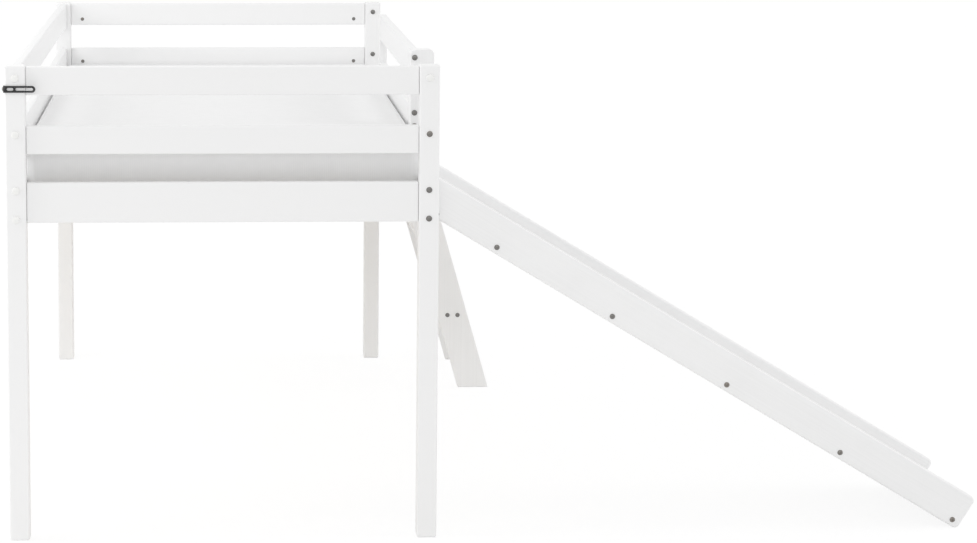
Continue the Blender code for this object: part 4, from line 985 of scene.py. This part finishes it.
class BED_OT_slide(bpy.types.Operator):
    """The slide: two side boards, the panel between them, the battens and the top cleat"""

    bl_idname = "bed.slide"
    bl_label = "Slide"

    def execute(self, context):
        sizes = context.scene.bed_boards
        place = slide_frame(sizes)
        plumb = math.tan(sizes.slide_angle)
        radius, height, reach = sizes.slide_corner, sizes.slide_height, slide_length(sizes)
        outline = [(0, 0)]
        outline += arc((reach - radius, radius), radius, -math.pi / 2, 0)
        outline += arc((reach - radius, height - radius), radius, 0, math.pi / 2)
        outline += [(-height * plumb, height)]
        for node in ("slide_side_near", "slide_side_far"):
            low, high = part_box(node)
            cut_board(node, outline, low[Y], high[Y], X, sizes.slide_arris, place)

        near, far = inner_faces("slide")
        rise, half = sizes.panel_rise, sizes.panel_thick / 2
        end = reach - sizes.panel_setback
        panel = [(-rise * plumb, rise)]
        panel += arc((end - half, rise + half), half, -math.pi / 2, math.pi / 2)
        panel += [(-(rise + half * 2) * plumb, rise + half * 2)]
        cut_board("slide_panel", panel, near + GAP, far - GAP, X, GAP, place)

        half = sizes.batten_width / 2
        blank = board_mesh((-half, near + GAP, 0), (half, far - GAP, sizes.batten_thick), Y,
                           sizes.arris / 2, "slide_battens")
        turn = Matrix.Rotation(sizes.slide_angle, 4, "Y")
        blank.transform(turn)
        battens = ["slide_batten_%d" % (index + 1) for index in range(sizes.batten_count)]
        first = place @ Vector((sizes.first_batten, 0, sizes.batten_rise))
        board_row("slide_battens", blank, first, turn @ Vector((batten_step(sizes), 0, 0)),
                  PAINTED, battens)
        build_cleat("slide", sizes)
        return {"FINISHED"}


class BED_OT_ladder(bpy.types.Operator):
    """The ladder: two leaning side boards, level treads and the top cleat"""

    bl_idname = "bed.ladder"
    bl_label = "Ladder"

    def execute(self, context):
        sizes = context.scene.bed_boards
        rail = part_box("side_rail_right")
        face, top = rail[1][X] + GAP, rail[1][Z]
        slope, lean = math.tan(sizes.ladder_lean), math.cos(sizes.ladder_lean)
        contact = top - sizes.ladder_contact
        heel = face + contact * slope
        toe = heel + sizes.ladder_width / lean
        radius = sizes.ladder_corner
        centre = (toe - (top - radius) * slope - radius / lean, top - radius)
        outline = [(heel, 0), (toe, 0)]
        outline += arc(centre, radius, sizes.ladder_lean, math.pi / 2)
        outline += [(face, top), (face, contact)]
        for node in ("ladder_side_near", "ladder_side_far"):
            low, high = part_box(node)
            cut_board(node, outline, low[Y], high[Y], Z, sizes.arris)
        near, far = inner_faces("ladder")
        low, high = between(TREADS[0], Y, near + GAP, far - GAP)
        row_from_boxes("ladder_treads", TREADS, low, high, Y, sizes.arris, PAINTED)
        build_cleat("ladder", sizes)
        return {"FINISHED"}


class BED_OT_bolts(bpy.types.Operator):
    """Flanged bolts on the posts and uprights, barrel nuts in the rails, and the caps"""

    bl_idname = "bed.bolts"
    bl_label = "Bolts, nuts and caps"

    def execute(self, context):
        sizes = context.scene.bed_fastenings
        heads, nuts, caps, blanks = [], [], [], []
        for node in END_RAILS + LONG_RAILS + SHORT_GUARDS:
            _, _, bolts, rail_nuts = rail_plan(sizes, node)
            heads += bolts
            nuts += rail_nuts
            if node in LONG_RAILS and "left" in node:
                caps += bolts[::2]
        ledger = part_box("slat_ledger_right")
        for group in ("slide", "ladder"):
            low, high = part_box(group + "_top_cleat")
            near, far = inner_faces(group)
            heads += [(Vector((ledger[0][X] - GAP, y, (low[Z] + high[Z]) / 2)), LEFT)
                      for y in (near + sizes.cleat_bolt, far - sizes.cleat_bolt)]
        for guard in LEFT_GUARDS:
            for low, high in (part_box("post_near_right"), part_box("post_far_right")):
                blanks.append((Vector(((low[X] + high[X]) / 2, low[Y] - GAP,
                                       bolt_heights(sizes, guard)[0])), TOWARDS))
        caps.append(blanks[0])
        drive("frame_bolts", bolt_head_mesh(sizes, BOLT_SHANK), heads, math.pi / 3)
        drive("blank_bolts", bolt_head_mesh(sizes, BLANK_SHANK), blanks, math.pi / 3,
              ["blank_bolt_%s_%s" % (end, level) for end in ("near", "far")
               for level in ("upper", "lower")])
        drive("barrel_nuts", nut_mesh(sizes), nuts, 0.5)
        drive("bolt_caps", cap_mesh(sizes), caps, math.pi,
              ["bolt_cap_%d" % (index + 1) for index in range(5)], MOULDED)
        return {"FINISHED"}


class BED_OT_screws(bpy.types.Operator):
    """Cross-head screws in the slide's, the ladder's and the upright's boards"""

    bl_idname = "bed.screws"
    bl_label = "Screws"

    def execute(self, context):
        boards, sizes = context.scene.bed_boards, context.scene.bed_fastenings
        rail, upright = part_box("side_rail_right"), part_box("guard_upright_by_slide")
        places = [(Vector((rail[0][X] - GAP, (upright[0][Y] + upright[1][Y]) / 2,
                           rail[1][Z] - sizes.lap_margin - row * sizes.lap_spacing)), LEFT)
                  for row in range(2)]
        place, step = slide_frame(boards), batten_step(boards)
        rise = boards.batten_rise + boards.batten_thick / 2
        spots = {"slide": [place @ Vector((boards.first_batten + index * step, 0, rise))
                           for index in range(boards.batten_count)], "ladder": []}
        for tread in TREADS:
            low, high = box_of(tread)
            spots["ladder"] += [(low + high) / 2 + RIGHT * (sign * sizes.tread_spacing / 2)
                                for sign in (-1, 1)]
        for group in ("slide", "ladder"):
            low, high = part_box(group + "_top_cleat")
            middle = Vector(((rail[1][X] + GAP + high[X]) / 2, 0, (low[Z] + high[Z]) / 2))
            faces = ((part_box(group + "_side_near")[0][Y] - GAP, TOWARDS),
                     (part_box(group + "_side_far")[1][Y] + GAP, AWAY))
            places += [(Vector((point.x, y, point.z)), way) for y, way in faces
                       for point in (middle, *spots[group])]
        drive("board_screws", screw_head_mesh(sizes, SCREW_SHANK), places, math.pi / 4)
        return {"FINISHED"}


class BED_OT_wall_bracket(bpy.types.Operator):
    """The slotted steel angle on the near left post, and its screw"""

    bl_idname = "bed.wall_bracket"
    bl_label = "Wall bracket"

    def execute(self, context):
        sizes = context.scene.bed_fastenings
        low, high = box_of("wall_bracket")
        thick, half = sizes.plate_thick, (high[Z] - low[Z]) / 2
        middle = (low[Z] + high[Z]) / 2
        bend = thick * 1.2
        centre = (low[X] + bend, low[Y] + bend)
        fold = [(high[X], low[Y]), (high[X], low[Y] + thick)]
        fold += arc(centre, bend - thick, -math.pi / 2, -math.pi, 3)
        fold += [(low[X] + thick, high[Y]), (low[X], high[Y])]
        fold += arc(centre, bend, math.pi, math.pi * 1.5, 5)
        plate = new_object("wall_bracket_plate", mesh_of(swept_shape(fold, Z, low[Z], high[Z])))
        outline = [(low[X] - thick, low[Z] - thick)]
        outline += arc((high[X] - half, middle), half, -math.pi / 2, math.pi / 2, 16)
        outline += [(low[X] - thick, high[Z] + thick)]
        tool = swept_shape(outline, Y, low[Y] - thick, high[Y] + thick)
        cut(plate, mesh_of(tool), "INTERSECT")
        radius = sizes.slot_width / 2
        for start, span in (sizes.short_slot, sizes.long_slot):
            left = low[X] + start + radius
            right = low[X] + start + span - radius
            slot = arc((left, middle), radius, math.pi / 2, math.pi * 1.5, 10)
            slot += arc((right, middle), radius, -math.pi / 2, math.pi / 2, 10)
            cut(plate, mesh_of(swept_shape(slot, Y, low[Y] - thick, low[Y] + thick * 2)))
        seat = Vector((low[X] - GAP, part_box("post_near_left")[0][Y] + sizes.plate_screw, middle))
        cut(plate, bore_mesh(sizes.bolt_shank, thick * 2, [facing(seat, LEFT)]))
        soften = plate.modifiers.new("soften", "BEVEL")
        soften.width = thick * 0.12
        soften.segments = 2
        soften.angle_limit = math.radians(50)
        settle(plate)
        plate.data.shade_smooth()
        dress(plate, LACQUERED, "wall_bracket")

        screw = screw_head_mesh(sizes, BRACKET_SHANK)
        share = sizes.plate_screw_head / sizes.screw_head
        screw.transform(Matrix.Diagonal((share, share, 1, 1)))
        drive("bracket_screw", screw, [(seat, LEFT)], math.pi / 4, ["wall_bracket_screw"])
        return {"FINISHED"}


def seam_route(surface_tree, low, high, settings, slant, reach):
    """Points on the mattress along one of its edges, where rays at a slant meet the cover."""
    inset = settings.edge
    radius = settings.corner - inset
    half_x, half_y = ((high[axis] - low[axis]) / 2 - settings.corner for axis in (X, Y))
    middle = (low + Vector(high)) / 2
    middle.z = high[Z] - inset if slant > 0 else low[Z] + inset
    plan = []
    for turn, (sx, sy) in enumerate(((1, 1), (-1, 1), (-1, -1), (1, -1))):
        angles = [(turn + step / 6) * math.pi / 2 for step in range(7)]
        corner = arc((sx * half_x, sy * half_y), radius, angles[0], angles[-1], 6)
        plan += zip(corner, angles)
    route = []
    for (start, angle_a), (end, angle_b) in zip(plan, plan[1:] + plan[:1]):
        if angle_b < angle_a:
            angle_b += 2 * math.pi
        steps = max(1, round(math.dist(start, end) / SEAM_STEP))
        for step in range(steps):
            share = step / steps
            bearing = angle_a + (angle_b - angle_a) * share
            origin = middle + Vector((*start, 0)).lerp(Vector((*end, 0)), share)
            way = Vector((math.cos(bearing) * math.cos(slant),
                          math.sin(bearing) * math.cos(slant), math.sin(slant)))
            hit, normal, _, _ = surface_tree.ray_cast(origin - way * inset / 2, way)
            if hit:
                route.append(hit + normal * reach)
    return route


def seam_curve(name, route, radius):
    data = bpy.data.curves.new(name, "CURVE")
    data.dimensions = "3D"
    data.bevel_depth = radius
    data.bevel_resolution = 2
    spline = data.splines.new("POLY")
    spline.points.add(len(route) - 1)
    for point, place in zip(spline.points, route):
        point.co = (*place, 1)
    spline.use_cyclic_u = True
    return new_object(name, data)


def stitch_mesh(settings):
    """One stitch: a short thread with pinched ends, lying along Z, the way that a seam runs."""
    return turned_mesh([(STITCH_THICK * out, settings.stitch / 2 * up) for out, up in (
        (0, 1), (0.7, 0.8), (1, 0), (0.7, -0.8), (0, -1))], 6)


def dress_in_cotton(piece):
    """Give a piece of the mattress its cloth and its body."""
    piece.data.shade_smooth()
    piece.data.materials.clear()
    piece.data.materials.append(material_for(COTTON))
    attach(piece, "mattress")


def pressed_swell(mattress, settings, scene):
    """How far the filling's pressure pushes each point outwards. The mesh keeps its shape."""
    start = [(vert.co.copy(), vert.normal.copy()) for vert in mattress.data.vertices]
    cloth = mattress.modifiers.new("cloth", "CLOTH")
    cloth.settings.use_pressure = True
    cloth.settings.uniform_pressure_force = settings.pressure
    cloth.settings.effector_weights.gravity = 0
    for frame_number in range(1, CLOTH_FRAMES + 1):
        scene.frame_set(frame_number)
    settle(mattress)
    scene.frame_set(1)
    swell = []
    for vert, (place, normal) in zip(mattress.data.vertices, start):
        swell.append(max(0.0, (vert.co - place).dot(normal)))
        vert.co = place
    fullest = max(max(swell), 1e-6)
    return [push * settings.most_swell / fullest for push in swell]


class BED_OT_mattress(bpy.types.Operator):
    """The mattress, swollen by its filling, with a stitched welt round its edges"""

    bl_idname = "bed.mattress"
    bl_label = "Mattress"

    def execute(self, context):
        settings = context.scene.bed_mattress
        low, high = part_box("mattress")
        middle = (Vector(low) + Vector(high)) / 2
        halves = [(high[axis] - low[axis]) / 2 for axis in (X, Y, Z)]
        mattress = new_object("mattress_cover", bpy.data.objects["mattress"].data.copy())
        bm = bmesh.new()
        bm.from_mesh(mattress.data)
        bmesh.ops.remove_doubles(bm, verts=bm.verts, dist=1e-5)
        for vert in bm.verts:
            away = vert.co - middle
            for axis, half in enumerate(halves):
                vert.co[axis] = middle[axis] + away[axis] * (1 + settings.ease / half)
            vert.co.y += settings.near_room * (high[Y] - vert.co.y) / (high[Y] - low[Y])
        low = Vector(low) + AWAY * settings.near_room
        bm.to_mesh(mattress.data)
        bm.free()
        unswollen = new_object("unswollen", mattress.data.copy())
        remesh = mattress.modifiers.new("remesh", "REMESH")
        remesh.mode = "VOXEL"
        remesh.voxel_size = settings.voxel
        settle(mattress)
        swell = pressed_swell(mattress, settings, context.scene)
        attribute = mattress.data.attributes.new("swell", "FLOAT", "POINT")
        attribute.data.foreach_set("value", swell)
        finer = mattress.modifiers.new("finer", "SUBSURF")
        finer.levels = finer.render_levels = 1
        mattress.modifiers.new("snug", "SHRINKWRAP").target = unswollen
        settle(mattress)
        discard(unswollen)
        normals = [vert.normal.copy() for vert in mattress.data.vertices]
        pushes = mattress.data.attributes["swell"].data
        for vert, normal, push in zip(mattress.data.vertices, normals, pushes):
            vert.co += normal * push.value
            vert.co.z = max(vert.co.z, low[Z])
        dress_in_cotton(mattress)
        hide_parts("mattress")

        bm = bmesh.new()
        bm.from_mesh(mattress.data)
        cover = BVHTree.FromBMesh(bm)
        bm.free()
        stitch = new_object("stitch", stitch_mesh(settings))
        for label, slant, turn in (("upper", 50, 22), ("lower", -50, -22)):
            route = seam_route(cover, low, high, settings, math.radians(slant), settings.welt * 0.3)
            edge = seam_curve("welt", route, settings.welt)
            dress_in_cotton(new_object("mattress_welt_" + label, evaluated_mesh(edge)))
            seam = seam_curve("seam", seam_route(
                cover, low, high, settings, math.radians(slant + turn), 0), 0)
            stitches = grow(seam, "stitches_on_seam", {
                "Shape": stitch, "Spacing": settings.stitch_spacing,
                "Material": material_for(COTTON)})
            dress_in_cotton(new_object("mattress_stitches_" + label, stitches))
            discard(edge, seam)
        discard(stitch)
        return {"FINISHED"}


def background_share(tree):
    """1 where the camera, a gleam or clear material looks at the background, 0 where it lights."""
    path = put(tree, "ShaderNodeLightPath").node.outputs
    seen = combine(tree, "MAXIMUM", path["Is Camera Ray"], path["Is Glossy Ray"])
    return combine(tree, "MAXIMUM", seen, path["Is Transmission Ray"])


class BED_OT_stage(bpy.types.Operator):
    """Camera, floor and soft studio light"""

    bl_idname = "bed.stage"
    bl_label = "Studio"

    def execute(self, context):
        settings = context.scene.bed_stage
        context.scene.view_settings.view_transform = "Standard"
        data = bpy.data.cameras.new("camera")
        data.lens = settings.lens
        data.sensor_width = 36.0
        data.shift_x, data.shift_y = settings.shift
        data.clip_end = 200.0
        camera = new_object("camera", data)
        camera.matrix_world = (Matrix.Translation(settings.camera_place)
                               @ Matrix.Rotation(-settings.camera_turn, 4, "Z")
                               @ Matrix.Rotation(math.pi / 2 - settings.camera_tilt, 4, "X")
                               @ Matrix.Rotation(settings.camera_roll, 4, "Z"))
        context.scene.camera = camera

        bm = bmesh.new()
        bmesh.ops.create_grid(bm, x_segments=1, y_segments=1, size=30.0)
        floor = new_object("studio_floor", mesh_of(bm))
        material, tree, shader = new_material("studio_floor")
        feed(tree, shader, {"Base Color": tuple(settings.floor), "Roughness": 0.9,
                            "Specular IOR Level": 0.0})
        glow = put(tree, "ShaderNodeEmission", {"Color": WHITE, "Strength": settings.floor_white})
        share = combine(tree, "MULTIPLY", background_share(tree), settings.floor_glow)
        mixed = put(tree, "ShaderNodeMixShader", {0: share, 1: shader.outputs[0], 2: glow})
        feed(tree, tree.nodes["Material Output"], {"Surface": mixed})
        floor.data.materials.append(material)

        world = bpy.data.worlds.new("studio")
        world.use_nodes = True
        context.scene.world = world
        tree = world.node_tree
        tree.nodes.clear()
        strength = remap(tree, background_share(tree), settings.sky, 1.0)
        light = put(tree, "ShaderNodeBackground", {"Color": WHITE, "Strength": strength})
        put(tree, "ShaderNodeOutputWorld", {"Surface": light})

        lamp = bpy.data.lights.new("key", "AREA")
        lamp.energy = settings.key
        lamp.size = settings.key_size
        place = Vector(settings.key_place)
        new_object("key", lamp).matrix_world = facing(place, place - Vector(settings.key_aim))
        for name, strength, spread, way in (
                ("front_fill", settings.front, 15, settings.front_way),
                ("right_fill", settings.right, 30, settings.right_way)):
            lamp = bpy.data.lights.new(name, "SUN")
            lamp.energy = strength
            lamp.angle = math.radians(spread)
            new_object(name, lamp).matrix_world = facing((0, 0, 3), Vector(way))
        return {"FINISHED"}


OPERATORS = (
    BED_OT_posts, BED_OT_end_rails, BED_OT_long_rails, BED_OT_uprights, BED_OT_slats, BED_OT_slide,
    BED_OT_ladder, BED_OT_bolts, BED_OT_screws, BED_OT_wall_bracket, BED_OT_mattress, BED_OT_stage,
)


class BED_PT_panel(bpy.types.Panel):
    """Lists the pieces of the bed"""

    bl_idname = "BED_PT_panel"
    bl_label = "Bed with slide"
    bl_space_type = "VIEW_3D"
    bl_region_type = "UI"
    bl_category = "Bed"

    def draw(self, context):
        for kind in OPERATORS:
            self.layout.operator(kind.bl_idname)


SETTINGS = {
    "bed_boards": BedBoardSizes, "bed_fastenings": BedFasteningSizes,
    "bed_mattress": BedMattressSettings, "bed_finishes": BedFinishes, "bed_stage": BedStageSettings,
}


def register():
    for kind in (*SETTINGS.values(), *OPERATORS, BED_PT_panel):
        bpy.utils.register_class(kind)
    for name, kind in SETTINGS.items():
        setattr(bpy.types.Scene, name, PointerProperty(type=kind))


def unregister():
    for name in SETTINGS:
        delattr(bpy.types.Scene, name)
    for kind in reversed((*SETTINGS.values(), *OPERATORS, BED_PT_panel)):
        bpy.utils.unregister_class(kind)


def main():
    register()
    for kind in OPERATORS:
        group, name = kind.bl_idname.split(".")
        getattr(getattr(bpy.ops, group), name)()


if __name__ == "__main__":
    main()
